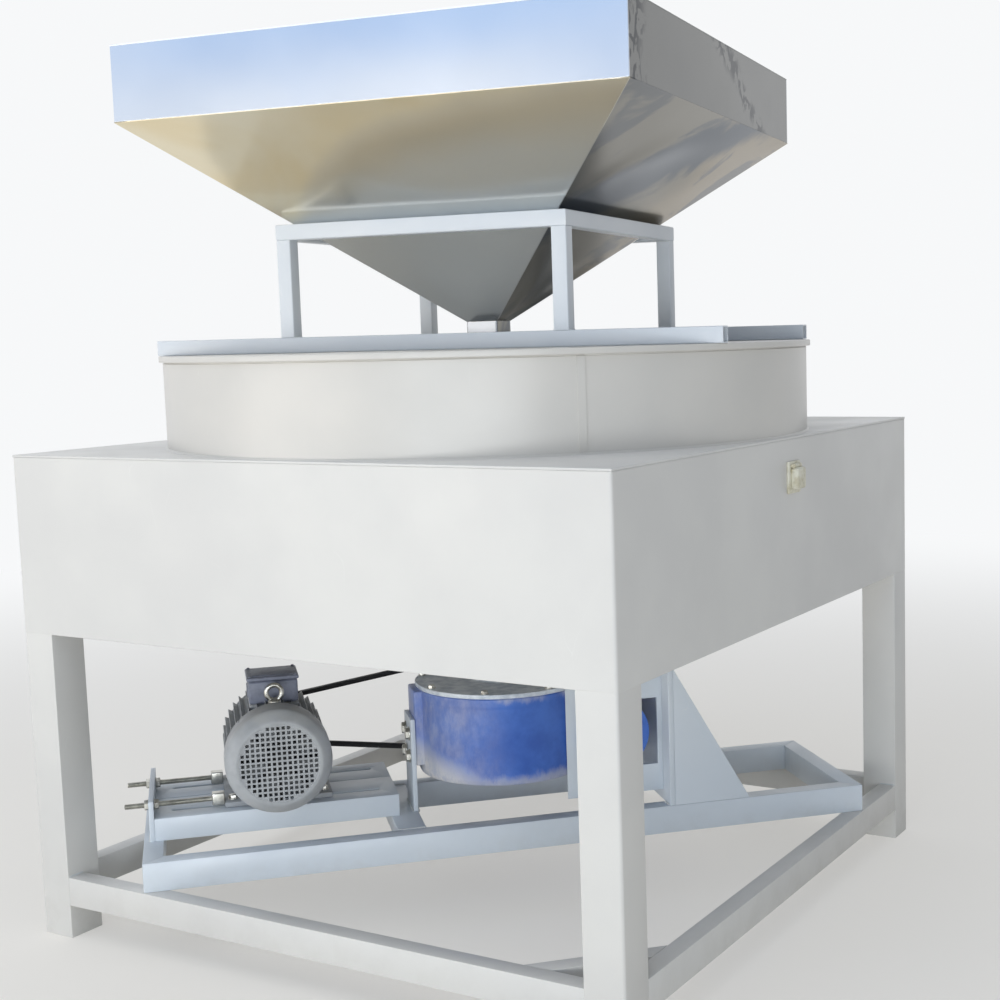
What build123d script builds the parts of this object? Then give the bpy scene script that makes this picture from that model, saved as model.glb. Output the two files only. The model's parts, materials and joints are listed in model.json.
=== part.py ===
from build123d import *
from math import asin, atan2, cos, degrees, hypot, radians, sin, sqrt, tan
import os

# Stone mill: a square table carries a round drum with the two millstones, a hopper on a stand above it,
# and a belt-driven gearbox on a diagonal chassis below.
# Millimetres. Origin on the floor under the spindle, +Z up, the front of the mill faces -Y.

# Table
table_margin = 14
deck_top = 1005
deck_thickness = 5
leg_side = 80
leg_wall = 4
leg_corner = 6
foot_plate = 5
apron_height = 360
apron_thickness = 3
tube_height = 60
tube_width = 40
tube_wall = 3
bottom_rail_top = 130
brace_from_leg = 90
deck_beam_spacing = 460

# Chassis, in its own axes: x along its length, turned to lie corner to corner under the table
chassis_turn = 45
chassis_end_gap = 2
chassis_half_width = 207

# Motor rails and belt tension
motor_rail_inset = 23
motor_rail_lap = 17
motor_rail_height = 48
motor_rail_sheet = 5
near_rail_y = (-68, 80)
rail_joint_gap = 3
near_slot_y = -12
far_slot_y = 157
slot_width = 12
slot_end_margin = 35
tension_plate_thickness = 10
tension_plate_above_rail = 37
rod_radius = 6
rod_above_rail = 16
rod_overhang = 50
rod_hole_clearance = 1
nut_flats = 19
nut_thickness = 10
lug_length = 26
lug_width = 24
lug_height = 26

# Motor
motor_from_rail_end = 252
shaft_height = 112
motor_shaft_radius = 14
cowl_end_y = -140
cowl_radius = 111
cowl_sheet = 2.5
cowl_shoulder_radius = 90
cowl_shoulder_depth = 18
cowl_overlap = 14
cowl_sides = 48
frame_start_y = -72
frame_end_y = 165
frame_radius = 96
stator_bore_radius = 62
air_gap = 0.6
frame_end_wall = 12
fin_thickness = 3
fin_step = 10
fin_first_angle = -30
fin_last_angle = 210
cowl_fit_gap = 0.3
rotor_core_y = (-40, 150)
shield_length = 50
shield_nose_radius = 52
shield_rim = 12
foot_inner = 62
foot_outer = 113
foot_thickness = 12
foot_web = 18
foot_end_margin = 28
foot_bolt_spread = 190
foot_bolt_flats = 17
foot_bolt_head = 7
foot_bolt_shank = 9
bolt_hole_clearance = 0.5
grille_radius = 88
grille_pitch = 22
grille_hole = 15
fan_radius = 92
fan_hub_radius = 30
fan_hub_sides = 12
fan_blade_count = 8
fan_blade_thickness = 4
fan_y = (-122, -92)
box_size = 104
box_y = (-12, 92)
box_base_height = 100
box_wall_height = 50
box_lid_thickness = 8
box_lid_overhang = 3
box_wall = 4
eye_y = -40
eye_collar_radius = 14
eye_collar_height = 6
eye_outer_radius = 21
eye_hole_radius = 11
eye_thickness = 10
eye_sides = 16

# Belt drive
belt_width = 17
belt_depth = 11
belt_flank_angle = 20
belt_clearance = 0.3
groove_extra_depth = 3
pulley_y = 245
pulley_margin = 5
pulley_sides = 36
motor_pulley_radius = 52.5
gearbox_pulley_radius = 152.5

# Gearbox
case_bottom = 266
case_height = 190
case_wall = 16
case_floor = 14
cover_thickness = 10
worm_x = 213
worm_z = 355
worm_housing_radius = 66
worm_bore_radius = 48
worm_shaft_radius = 17.5
worm_radius = 45
worm_thread_depth = 12
worm_thread_width = 14
worm_starts = 4
worm_length = 120
wheel_teeth = 20
wheel_tooth_height = 20
tooth_root_share = 0.33
tooth_tip_share = 0.17
wheel_thickness = 56
wheel_worm_gap = 0.6
wheel_case_gap = 8.6
cap_radius = 77
cap_thickness = 18
running_clearance = 0.05
end_float = 0.5
bore_sides = 16
small_bore_sides = 12
shaft_sides = 24
disc_sides = 40

# Gearbox supports
pad_stand = 12
pad_width = 90
pad_bottom = 290
upright_thickness = 10
upright_width = 100
upright_top = 395
plate_cap_gap = 35
right_plate_thickness = 12
right_plate_top = 496
gusset_length = 173
gusset_thickness = 12
cheek_bottom = 215
cheek_top = 478
cheek_thickness = 10
housing_reach = 160
window_above_worm = 68
window_below_worm = 80
window_side_margin = 12
weld_gap = 0.2
support_bolt_flats = 24
support_bolt_head = 8
support_bolt_rows = (310, 360)
support_bolt_spread = 56
cover_bolt_count = 8
cover_bolt_flats = 13
cover_bolt_head = 6
cover_bolt_inset = 9

# Stones, spindle and drum
stone_radius = 600
bed_thickness = 90
runner_thickness = 75
grind_gap = 0.6
bed_eye_radius = 100
runner_eye_radius = 90
furrow_width = 14
furrow_depth = 4
furrow_draft = 40
furrow_spacing = 120
furrows_per_harp = 3
harp_count = 8
spindle_radius = 35
spindle_neck_radius = 22
neck_bush_radius = 55
neck_bush_up = 35
neck_flange_side = 170
neck_flange_thickness = 12
neck_hole_clearance = 1
rynd_width = 58
rynd_height = 26
rynd_reach = 28
rynd_fit = 0.2
flour_ring_width = 82
drum_sheet = 4
drum_height = 175
sweeper_thickness = 8
sweeper_stone_gap = 6
sweeper_drum_gap = 8
sweeper_floor_gap = 4
sweeper_up = 50

# Flour chute at the back
chute_width = 140
chute_sheet = 2
chute_stone_gap = 3
chute_proud = 20
chute_clearance = 1

# Lid, hopper stand and hopper
lip_proud = 8
lip_height = 15
lid_plate_thickness = 4
rim_sides = 96
hopper_turn = 8.8
stand_half = 321
stand_tube = 32
stand_wall = 2.5
stand_height = 261
base_bar_overhang = 13
hopper_half = 535
hopper_sheet = 2
collar_height = 146
spout_side = 68
spout_above_lid = 58
spout_below_lid = 6
spout_lid_gap = 1

# Power inlet on the right apron
inlet_y = 23
inlet_z = 925
inlet_width = 58
inlet_height = 64
inlet_base_thickness = 6
inlet_cover_width = 42
inlet_cover_height = 46
inlet_cover_reach = 16
inlet_cover_chamfer = 6

# Places worked out from the sizes above
drum_inner = stone_radius + flour_ring_width
drum_radius = drum_inner + drum_sheet
lip_radius = drum_radius + lip_proud
half = drum_radius + table_margin
leg_inner = half - leg_side
deck_under = deck_top - deck_thickness
apron_bottom = deck_under - apron_height
chassis_top = bottom_rail_top + tube_height
chassis_inner = chassis_half_width - tube_width
chassis_half_length = (half - chassis_end_gap) * sqrt(2) - chassis_half_width
wheel_radius = worm_x - worm_radius - wheel_worm_gap
case_radius = wheel_radius + wheel_case_gap + case_wall
pad_face = -(case_radius + pad_stand)
right_plate_x = worm_x + cap_radius + plate_cap_gap
crossbar_span = (pad_face - tube_height, pad_face)
motor_rail_start = motor_rail_inset - chassis_half_length
motor_rail_end = crossbar_span[0] + motor_rail_lap
motor_x = motor_rail_end - motor_from_rail_end
motor_base = chassis_top + motor_rail_height
motor_z = motor_base + shaft_height
rod_z = motor_base + rod_above_rail
fin_radius = cowl_radius - cowl_sheet - cowl_fit_gap
case_top = case_bottom + case_height
cover_top = case_top + cover_thickness
bed_top = deck_top + bed_thickness
runner_bottom = bed_top + grind_gap
runner_top = runner_bottom + runner_thickness
drum_top = deck_top + drum_height
lid_top = drum_top + lip_height
stand_inner = stand_half - stand_tube
stand_ring_top = lid_top + stand_height
wheel_bottom = worm_z - wheel_thickness / 2
pulley_half_width = belt_width / 2 + belt_clearance + pulley_margin
pulley_span = (pulley_y - pulley_half_width, pulley_y + pulley_half_width)

# General helpers
TURNS = {"x": Rot(0, 90, 0), "y": Rot(90, 0, 0), "z": Rot(0, 0, 0)}
SIDES = {"front": 0, "right": 90, "back": 180, "left": 270}
CORNERS = {"back_right": 0, "back_left": 90, "front_left": 180, "front_right": 270}


def about(middle, width):
    """Range of the given width around a middle."""
    return (middle - width / 2, middle + width / 2)


def block(x, y, z):
    """Box that fills three ranges."""
    size = [high - low for low, high in (x, y, z)]
    centre = [(high + low) / 2 for low, high in (x, y, z)]
    return Pos(*centre) * Box(*size)


def tube(x, y, z, wall, along):
    """Rectangular tube that fills three ranges, open at both ends along one axis."""
    bore = [(low + wall, high - wall) for low, high in (x, y, z)]
    bore["xyz".index(along)] = (x, y, z)["xyz".index(along)]
    return block(x, y, z) - block(*bore)


def mitred_tube(length, width, height, wall):
    """Tube along X with both ends cut at 45 degrees; its long side lies on y = 0."""
    long_side = [(-length / 2, 0), (length / 2, 0)]
    short_side = [(length / 2 - width, width), (width - length / 2, width)]
    bar = extrude(make_face(Polyline(*long_side, *short_side, close=True)), height)
    return bar - block((-length, length), (wall, width - wall), (wall, height - wall))


def round_bar(radius, span, along, at):
    """Cylinder along one axis; at gives the two other coordinates."""
    place = list(at)
    place.insert("xyz".index(along), (span[0] + span[1]) / 2)
    return Pos(*place) * TURNS[along] * Cylinder(radius, span[1] - span[0])


def prism_bar(sides, flats, span, along, at):
    """Regular prism along one axis, by its width across flats; at gives the two other coordinates."""
    place = list(at)
    place.insert("xyz".index(along), (span[0] + span[1]) / 2)
    section = RegularPolygon(flats / 2, sides, major_radius=False)
    return Pos(*place) * TURNS[along] * extrude(section, (span[1] - span[0]) / 2, both=True)


def bore_bar(radius, span, along, at, sides=bore_sides):
    """Cutter for a hidden bore that clears a round shaft of the given radius."""
    return prism_bar(sides, 2 * radius, span, along, at)


def shaft_bar(radius, span, along, at, sides=shaft_sides):
    """Many-sided shaft or disc that stays inside the given radius."""
    return prism_bar(sides, 2 * radius * cos(radians(180 / sides)), span, along, at)


def hex_bar(flats, span, along, at):
    """Hexagonal bar along one axis."""
    return prism_bar(6, flats, span, along, at)


def stacked(sides, *stages):
    """Many-sided turned piece along Z from (radius, height) stages, straight or tapering between them."""
    pieces = []
    for (radius, low), (next_radius, high) in zip(stages, stages[1:]):
        wide_end = RegularPolygon(max(radius, next_radius), sides, major_radius=False)
        lean = degrees(atan2(abs(radius - next_radius), high - low))
        place = Pos(0, 0, low) if radius >= next_radius else Pos(0, 0, high) * Rot(180, 0, 0)
        pieces.append(place * extrude(wide_end, high - low, taper=lean))
    return pieces[0] + pieces[1:]


def wedge(reach, low, high):
    """Upright prism over one quarter of a square, between its diagonals."""
    quarter = make_face(Polyline((0, 0), (reach, -reach), (reach, reach), close=True))
    return Pos(0, 0, low) * extrude(quarter, high - low)


def quarters(side, sheet, low, high):
    """Four mitred panels of an upright square duct."""
    duct = block(about(0, side), about(0, side), (low, high))
    duct -= block(about(0, side - 2 * sheet), about(0, side - 2 * sheet), (low, high))
    panel = duct & wedge(side / 2, low, high)
    return [Rot(0, 0, angle) * panel for angle in SIDES.values()]


parts = {}


def add(name, *solids, turn=0):
    """Keep a piece, or a group of like pieces, under its name."""
    placed = [Rot(0, 0, turn) * solid for solid in solids]
    parts[name] = placed[0] if len(placed) == 1 else Compound(children=placed)


def add_chassis(name, *solids):
    """Keep a piece that is drawn in the chassis axes."""
    add(name, *solids, turn=chassis_turn)


# Table legs: square tube with a welded foot plate
leg = block((leg_inner, half), (leg_inner, half), (0, deck_under))
leg_edge = leg.edges().filter_by(Axis.Z).sort_by(Axis((0, 0, 0), (1, 1, 0)))[-1]
leg = fillet(leg_edge, leg_corner)
leg_bore = (leg_inner + leg_wall, half - leg_wall)
leg -= block(leg_bore, leg_bore, (foot_plate, deck_under))
for corner, angle in CORNERS.items():
    add(f"leg_{corner}", leg, turn=angle)

# Flour chute: a straight duct that falls at 45 degrees from the deck to the back apron
chute_in = (stone_radius + chute_stone_gap, drum_inner - chute_stone_gap)
chute_out = half + chute_proud


def chute_prism(grow, top, outlet):
    """Sloping prism of the chute, with its section grown all round."""
    slant = grow * sqrt(2)
    low, high = chute_in[0] - slant, chute_in[1] + slant
    fall = outlet - deck_under
    corners = [
        (0, low - (top - deck_under), top),
        (0, high - (top - deck_under), top),
        (0, outlet, high - fall),
        (0, outlet, low - fall),
    ]
    face = make_face(Polyline(*corners, close=True))
    return extrude(face, chute_width / 2 + grow, dir=(1, 0, 0), both=True)


chute_shell = chute_prism(chute_sheet, deck_under, chute_out) - chute_prism(0, deck_top, chute_out + half)
chute_sides = []
for side in (-1, 1):
    inner_face = side * chute_width / 2
    outer_face = inner_face + side * chute_sheet
    slab = block(sorted((inner_face, outer_face)), (0, 2 * half), (0, deck_under))
    chute_sides.append(chute_shell & slab)
chute_middle = chute_shell & block(about(0, chute_width), (0, 2 * half), (0, deck_under))
add("flour_chute", *chute_sides, *chute_middle.solids())
chute_path = chute_prism(chute_sheet + chute_clearance, deck_under, chute_out + half)

# Aprons, top rails and bottom rails on the four sides
top_rails = []
for side, angle in SIDES.items():
    span = (-leg_inner, leg_inner)
    apron = block(span, (-half, apron_thickness - half), (apron_bottom, deck_under))
    if side == "back":
        apron = apron - Rot(0, 0, -angle) * chute_path
    add(f"apron_{side}", apron, turn=angle)
    rail_z = (bottom_rail_top - tube_height, bottom_rail_top)
    rail = tube(span, (-half, tube_width - half), rail_z, tube_wall, "x")
    add(f"bottom_rail_{side}", rail, turn=angle)
    top_y = (apron_thickness - half, apron_thickness - half + tube_width)
    top_z = (deck_under - tube_height, deck_under)
    chute_half = chute_width / 2 + chute_sheet + chute_clearance
    spans = [(-leg_inner, -chute_half), (chute_half, leg_inner)] if side == "back" else [span]
    for part_span in spans:
        top_rails.append(Rot(0, 0, angle) * tube(part_span, top_y, top_z, tube_wall, "x"))
add("top_rails", *top_rails)

# Deck beams under the stones, between the front and back top rails
beam_end = half - apron_thickness - tube_width
beam_z = (deck_under - tube_height, deck_under)
beams = []
for side in (-1, 1):
    beam_x = about(side * deck_beam_spacing / 2, tube_width)
    beams.append(tube(beam_x, (-beam_end, beam_end), beam_z, tube_wall, "y"))
add("deck_beams", *beams)

# Corner braces between the bottom rails
rail_face = half - tube_width
brace_near = leg_inner - brace_from_leg
brace_far = brace_near - tube_width * sqrt(2)
brace_outer = [(brace_near, -rail_face), (rail_face, -brace_near)]
brace_inner = [(rail_face, -brace_far), (brace_far, -rail_face)]
brace = extrude(make_face(Polyline(*brace_outer, *brace_inner, close=True)), tube_height)
brace_middle = (brace_near + brace_far + 2 * rail_face) / 4
brace_bore_y = about(0, tube_width - 2 * tube_wall)
brace_bore = block((-half, half), brace_bore_y, (tube_wall, tube_height - tube_wall))
brace -= Pos(brace_middle, -brace_middle, 0) * Rot(0, 0, 45) * brace_bore
brace = Pos(0, 0, bottom_rail_top - tube_height) * brace
add("corner_braces", brace, Rot(0, 0, 180) * brace)

# Deck plate with the spindle hole and the flour outlet
deck = block((-half, half), (-half, half), (deck_under, deck_top))
deck -= bore_bar(neck_bush_radius + neck_hole_clearance, (deck_under, deck_top), "z", (0, 0))
deck -= block(about(0, chute_width), chute_in, (deck_under, deck_top))
add("deck_plate", deck)

# Chassis of mitred tube, with one cross-bar
long_tube = mitred_tube(2 * chassis_half_length, tube_width, tube_height, tube_wall)
end_tube = mitred_tube(2 * chassis_half_width, tube_width, tube_height, tube_wall)
add_chassis("chassis_rail_near", Pos(0, -chassis_half_width, bottom_rail_top) * long_tube)
add_chassis("chassis_rail_far", Pos(0, chassis_half_width, bottom_rail_top) * Rot(0, 0, 180) * long_tube)
left_end = Pos(-chassis_half_length, 0, bottom_rail_top) * Rot(0, 0, -90) * end_tube
right_end = Pos(chassis_half_length, 0, bottom_rail_top) * Rot(0, 0, 90) * end_tube
add_chassis("chassis_ends", left_end, right_end)
crossbar_y = (-chassis_inner, chassis_inner)
crossbar_z = (chassis_top - tube_width, chassis_top)
add_chassis("chassis_crossbar", tube(crossbar_span, crossbar_y, crossbar_z, tube_wall, "y"))


# Slotted motor rails: inverted channels that span from the chassis end to the cross-bar
def motor_rail(width_y, slot_y):
    """Inverted channel with one long slot for the foot bolts."""
    span = (motor_rail_start, motor_rail_end)
    rail = block(span, width_y, (chassis_top, motor_base))
    inside = (width_y[0] + motor_rail_sheet, width_y[1] - motor_rail_sheet)
    rail -= block(span, inside, (chassis_top, motor_base - motor_rail_sheet))
    slot = SlotOverall(span[1] - span[0] - 2 * slot_end_margin, slot_width)
    middle = (span[0] + span[1]) / 2
    return rail - Pos(middle, slot_y, motor_base) * extrude(slot, motor_rail_height / 2, both=True)


far_rail_y = (near_rail_y[1] + rail_joint_gap, chassis_half_width)
add_chassis("motor_rail_near", motor_rail(near_rail_y, near_slot_y))
add_chassis("motor_rail_far", motor_rail(far_rail_y, far_slot_y))

# Belt tension: end plate, two threaded rods with their nuts, and the lugs that pull the motor feet
plate_x = (motor_rail_start - tension_plate_thickness, motor_rail_start)
plate_top = motor_base + tension_plate_above_rail
tension_plate = block(plate_x, (near_rail_y[0], far_rail_y[1]), (chassis_top, plate_top))
foot_end_x = motor_x - foot_outer
lug_x = (foot_end_x - lug_length, foot_end_x)
rods = []
nuts = []
for slot_y in (near_slot_y, far_slot_y):
    at = (slot_y, rod_z)
    tension_plate -= bore_bar(rod_radius + rod_hole_clearance, plate_x, "x", at, small_bore_sides)
    rods.append(shaft_bar(rod_radius, (plate_x[0] - rod_overhang, lug_x[0]), "x", at))
    rods.append(block(lug_x, about(slot_y, lug_width), about(rod_z, lug_height)))
    for face_x, outward in ((plate_x[0], -nut_thickness), (plate_x[1], nut_thickness)):
        nut_span = sorted((face_x, face_x + outward))
        nut = hex_bar(nut_flats, nut_span, "x", at)
        nuts.append(nut - bore_bar(rod_radius + running_clearance, nut_span, "x", at, small_bore_sides))
add_chassis("tension_plate", tension_plate)
add_chassis("tension_rods", *rods)
add_chassis("rod_nuts", *nuts)

# Motor frame: finned barrel on two feet, closed by a wall at the fan end
motor_axis = (motor_x, motor_z)
frame_length = frame_end_y - frame_start_y
fins = []
for angle in range(fin_first_angle, fin_last_angle + fin_step, fin_step):
    fins.append(Rot(0, 0, angle) * Pos(fin_radius / 2, 0) * Rectangle(fin_radius, fin_thickness))
frame_sides = 360 // fin_step
frame_section = RegularPolygon(frame_radius, frame_sides) + fins
motor_frame = Pos(motor_x, frame_end_y, motor_z) * Rot(90, 0, 0) * extrude(frame_section, frame_length)
foot_y = (near_slot_y - foot_end_margin, far_slot_y + foot_end_margin)
web_y = (foot_y[0], frame_end_y)
for side in (-1, 1):
    pad_x = sorted((motor_x + side * foot_inner, motor_x + side * foot_outer))
    motor_frame += block(pad_x, foot_y, (motor_base, motor_base + foot_thickness))
    web_x = sorted((motor_x + side * foot_inner, motor_x + side * (foot_inner + foot_web)))
    motor_frame += block(web_x, web_y, (motor_base, motor_z - foot_inner))
box_pad_z = (motor_z, motor_z + box_base_height)
box_x = about(motor_x, box_size)
motor_frame += block(box_x, box_y, box_pad_z)
motor_frame -= block(box_x, box_y, (box_pad_z[1], box_pad_z[1] + fin_radius))
boss_z = (motor_z, motor_z + fin_radius)
motor_frame += hex_bar(2 * eye_collar_radius, boss_z, "z", (motor_x, eye_y))
stator_bore = RegularPolygon(stator_bore_radius, frame_sides, major_radius=False)
stator_bore = extrude(stator_bore, frame_length - frame_end_wall)
motor_frame -= Pos(motor_x, frame_end_y, motor_z) * Rot(90, 0, 0) * stator_bore
shaft_bore = motor_shaft_radius + running_clearance
motor_frame -= bore_bar(shaft_bore, (frame_start_y, frame_end_y), "y", motor_axis)
foot_bolt_x = about(motor_x, foot_bolt_spread)
foot_bolt_places = [(x, y) for x in foot_bolt_x for y in (near_slot_y, far_slot_y)]
foot_z = (motor_base, motor_base + foot_thickness)
foot_hole_flats = foot_bolt_shank + 2 * bolt_hole_clearance
for place in foot_bolt_places:
    motor_frame -= hex_bar(foot_hole_flats, foot_z, "z", place)
add_chassis("motor_frame", motor_frame)

# Foot bolts: head on the foot, shank through the foot and down through the slot
foot_bolts = []
for place in foot_bolt_places:
    head = hex_bar(foot_bolt_flats, (foot_z[1], foot_z[1] + foot_bolt_head), "z", place)
    shank = hex_bar(foot_bolt_shank, (motor_base - motor_rail_sheet, foot_z[1]), "z", place)
    foot_bolts.append(head + shank)
add_chassis("foot_bolts", *foot_bolts)

# Drive-end shield, stepped down to the shaft
shield_end = (shield_nose_radius, shield_length)
shield = stacked(frame_sides, (frame_radius, 0), (frame_radius, shield_rim), shield_end)
shield -= bore_bar(shaft_bore, (0, shield_length), "z", (0, 0))
add_chassis("drive_end_shield", Pos(motor_x, frame_end_y, motor_z) * Rot(-90, 0, 0) * shield)

# Fan cowl: a cup with a tapering shoulder, whose end is a grille of square holes
cowl_depth = frame_start_y + cowl_overlap - cowl_end_y
cowl_inside = cowl_radius - cowl_sheet
shoulder_inside = (cowl_shoulder_radius - cowl_sheet, cowl_sheet)
cowl_outer = [(cowl_shoulder_radius, 0), (cowl_radius, cowl_shoulder_depth), (cowl_radius, cowl_depth)]
cowl_inner = [shoulder_inside, (cowl_inside, cowl_shoulder_depth), (cowl_inside, cowl_depth)]
cowl = stacked(cowl_sides, *cowl_outer) - stacked(cowl_sides, *cowl_inner)
grille_rows = int(grille_radius / grille_pitch)
grille_steps = [(row + 0.5) * grille_pitch for row in range(-grille_rows - 1, grille_rows + 1)]
holes = []
for x in grille_steps:
    for y in grille_steps:
        if hypot(abs(x) + grille_hole / 2, abs(y) + grille_hole / 2) < grille_radius:
            holes.append(Pos(x, y) * Rectangle(grille_hole, grille_hole))
cowl -= [extrude(hole, cowl_sheet) for hole in holes]
add_chassis("fan_cowl", Pos(motor_x, cowl_end_y, motor_z) * Rot(-90, 0, 0) * cowl)

# Cooling fan on the shaft inside the cowl
fan_depth = fan_y[1] - fan_y[0]
fan_section = RegularPolygon(fan_hub_radius, fan_hub_sides)
for blade in range(fan_blade_count):
    paddle = Pos(fan_radius / 2, 0) * Rectangle(fan_radius, fan_blade_thickness)
    fan_section += Rot(0, 0, blade * 360 / fan_blade_count) * paddle
fan = Rot(90, 0, 0) * extrude(fan_section, fan_depth)
add_chassis("cooling_fan", Pos(motor_x, fan_y[1], motor_z) * fan)

# Rotor: shaft and core in one turning
core_radius = stator_bore_radius - air_gap
core = extrude(RegularPolygon(core_radius, frame_sides), rotor_core_y[1] - rotor_core_y[0])
rotor = Pos(motor_x, rotor_core_y[1], motor_z) * Rot(90, 0, 0) * core
rotor += shaft_bar(motor_shaft_radius, (fan_y[1], pulley_span[1]), "y", motor_axis)
add_chassis("motor_rotor", rotor)

# Terminal box: an open tray with a lid
box_z = (box_pad_z[1], box_pad_z[1] + box_wall_height)
tray = block(box_x, box_y, box_z)
tray_inside = [(low + box_wall, high - box_wall) for low, high in (box_x, box_y)]
tray -= block(*tray_inside, (box_z[0] + box_wall, box_z[1]))
lid_spans = [(low - box_lid_overhang, high + box_lid_overhang) for low, high in (box_x, box_y)]
box_lid = block(*lid_spans, (box_z[1], box_z[1] + box_lid_thickness))
add_chassis("terminal_box", tray, box_lid)

# Lifting eye on the motor
eye_collar_top = boss_z[1] + eye_collar_height
eye = hex_bar(2 * eye_collar_radius, (boss_z[1], eye_collar_top), "z", (motor_x, eye_y))
eye_ring = RegularPolygon(eye_outer_radius, eye_sides) - RegularPolygon(eye_hole_radius, eye_sides)
eye_ring = Rot(90, 0, 0) * extrude(eye_ring, eye_thickness / 2, both=True)
eye += Pos(motor_x, eye_y, boss_z[1] + eye_outer_radius) * eye_ring
add_chassis("lifting_eye", eye)

# V-belt and its grooved pulleys
flank = tan(radians(belt_flank_angle))


def grooved_disc(radius, bore):
    """Pulley with one V-groove, its axis along Z and the belt's middle at z = 0."""
    half_top = belt_width / 2 + belt_clearance
    root = radius - belt_depth - groove_extra_depth
    half_root = half_top - (radius - root) * flank
    left = [(radius, -pulley_half_width), (radius, -half_top), (root, -half_root)]
    right = [(r, -height) for r, height in reversed(left)]
    return stacked(pulley_sides, *left, *right) - bore_bar(bore, pulley_rim, "z", (0, 0))


pulley_rim = (-pulley_half_width, pulley_half_width)
motor_pulley = grooved_disc(motor_pulley_radius, shaft_bore)
add_chassis("motor_pulley", Pos(motor_x, pulley_y, motor_z) * Rot(-90, 0, 0) * motor_pulley)

worm_bore = worm_shaft_radius + running_clearance
gearbox_pulley = grooved_disc(gearbox_pulley_radius, worm_bore)
add_chassis("gearbox_pulley", Pos(worm_x, pulley_y, worm_z) * Rot(-90, 0, 0) * gearbox_pulley)

belt_span = hypot(worm_x - motor_x, worm_z - motor_z)
belt_slope = degrees(atan2(worm_z - motor_z, worm_x - motor_x))


def belt_loop():
    """V-belt around both pulleys, with the motor pulley's centre at the origin."""
    r1 = motor_pulley_radius
    r2 = gearbox_pulley_radius
    wrap = asin((r2 - r1) / belt_span)
    small_up = Vector(-r1 * sin(wrap), 0, r1 * cos(wrap))
    large_up = Vector(belt_span - r2 * sin(wrap), 0, r2 * cos(wrap))
    small_down = Vector(small_up.X, 0, -small_up.Z)
    large_down = Vector(large_up.X, 0, -large_up.Z)
    upper = Line(small_up, large_up)
    around_large = ThreePointArc(large_up, (belt_span + r2, 0, 0), large_down)
    lower = Line(large_down, small_down)
    around_small = ThreePointArc(small_down, (-r1, 0, 0), small_up)
    path = Wire([upper, around_large, lower, around_small])
    outward = Vector(-sin(wrap), 0, cos(wrap))
    half_top = belt_width / 2
    half_root = half_top - belt_depth * flank
    at_root = small_up - outward * belt_depth
    corners = [
        small_up + Vector(0, half_top, 0),
        at_root + Vector(0, half_root, 0),
        at_root - Vector(0, half_root, 0),
        small_up - Vector(0, half_top, 0),
    ]
    section = make_face(Polyline(*corners, close=True))
    return sweep(section, path=path)


belt = Rot(0, -belt_slope, 0) * belt_loop()
add_chassis("drive_belt", Pos(motor_x, pulley_y, motor_z) * belt)

# Gearbox case: round wheel chamber with the worm housing across its right side
worm_axis = (worm_x, worm_z)
housing_span = (-housing_reach, housing_reach)
case = round_bar(case_radius, (case_bottom, case_top), "z", (0, 0))
case += shaft_bar(worm_housing_radius, housing_span, "y", worm_axis, disc_sides)
case += block((pad_face, 0), about(0, pad_width), (pad_bottom, case_top))
chamber_floor = case_bottom + case_floor
case -= bore_bar(case_radius - case_wall, (chamber_floor, case_top), "z", (0, 0))
case -= bore_bar(worm_bore_radius, housing_span, "y", worm_axis)
spindle_foot = case_bottom + case_floor / 2
spindle_bore = spindle_radius + running_clearance
case -= bore_bar(spindle_bore, (spindle_foot, chamber_floor), "z", (0, 0))
add_chassis("gearbox_case", case)

# Gearbox cover
cover = shaft_bar(case_radius, (case_top, cover_top), "z", (0, 0), disc_sides)
cover -= bore_bar(spindle_bore, (case_top, cover_top), "z", (0, 0))
add_chassis("gearbox_cover", cover)

# Bearing caps on both ends of the worm housing
cap_outer = housing_reach + cap_thickness
near_cap = shaft_bar(cap_radius, (-cap_outer, -housing_reach), "y", (0, 0), disc_sides)
far_cap = shaft_bar(cap_radius, (housing_reach, cap_outer), "y", (0, 0), disc_sides)
far_cap -= bore_bar(worm_bore, (housing_reach, cap_outer), "y", (0, 0))
worm_place = Pos(worm_x, 0, worm_z)
add_chassis("bearing_caps", worm_place * near_cap, worm_place * far_cap)

# Worm shaft: a four-start worm cut on its shaft
worm_root = worm_radius - worm_thread_depth
ridge_reach = sqrt(worm_radius**2 - (worm_thread_width / 2) ** 2)
worm_section = RegularPolygon(worm_root, 2 * worm_starts)
for start in range(worm_starts):
    ridge = Pos(ridge_reach / 2, 0) * Rectangle(ridge_reach, worm_thread_width)
    worm_section += Rot(0, 0, start * 360 / worm_starts) * ridge
worm = Pos(0, worm_length / 2, 0) * Rot(90, 0, 0) * extrude(worm_section, worm_length)
shaft_end = end_float - housing_reach
worm += shaft_bar(worm_shaft_radius, (shaft_end, pulley_span[1]), "y", (0, 0))
add_chassis("worm_shaft", worm_place * worm)

# Worm wheel on the spindle
tooth_step = radians(360 / wheel_teeth)
root_radius = wheel_radius - wheel_tooth_height
tooth_form = [(root_radius, -tooth_root_share), (wheel_radius, -tooth_tip_share)]
tooth_form += [(radius, -share) for radius, share in reversed(tooth_form)]
wheel_outline = []
for tooth in range(wheel_teeth):
    for radius, share in tooth_form:
        angle = (tooth + share) * tooth_step
        wheel_outline.append((radius * cos(angle), radius * sin(angle)))
wheel = Pos(0, 0, wheel_bottom) * extrude(make_face(Polyline(*wheel_outline, close=True)), wheel_thickness)
wheel -= bore_bar(spindle_bore, about(worm_z, wheel_thickness), "z", (0, 0))
add_chassis("worm_wheel", wheel)

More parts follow.
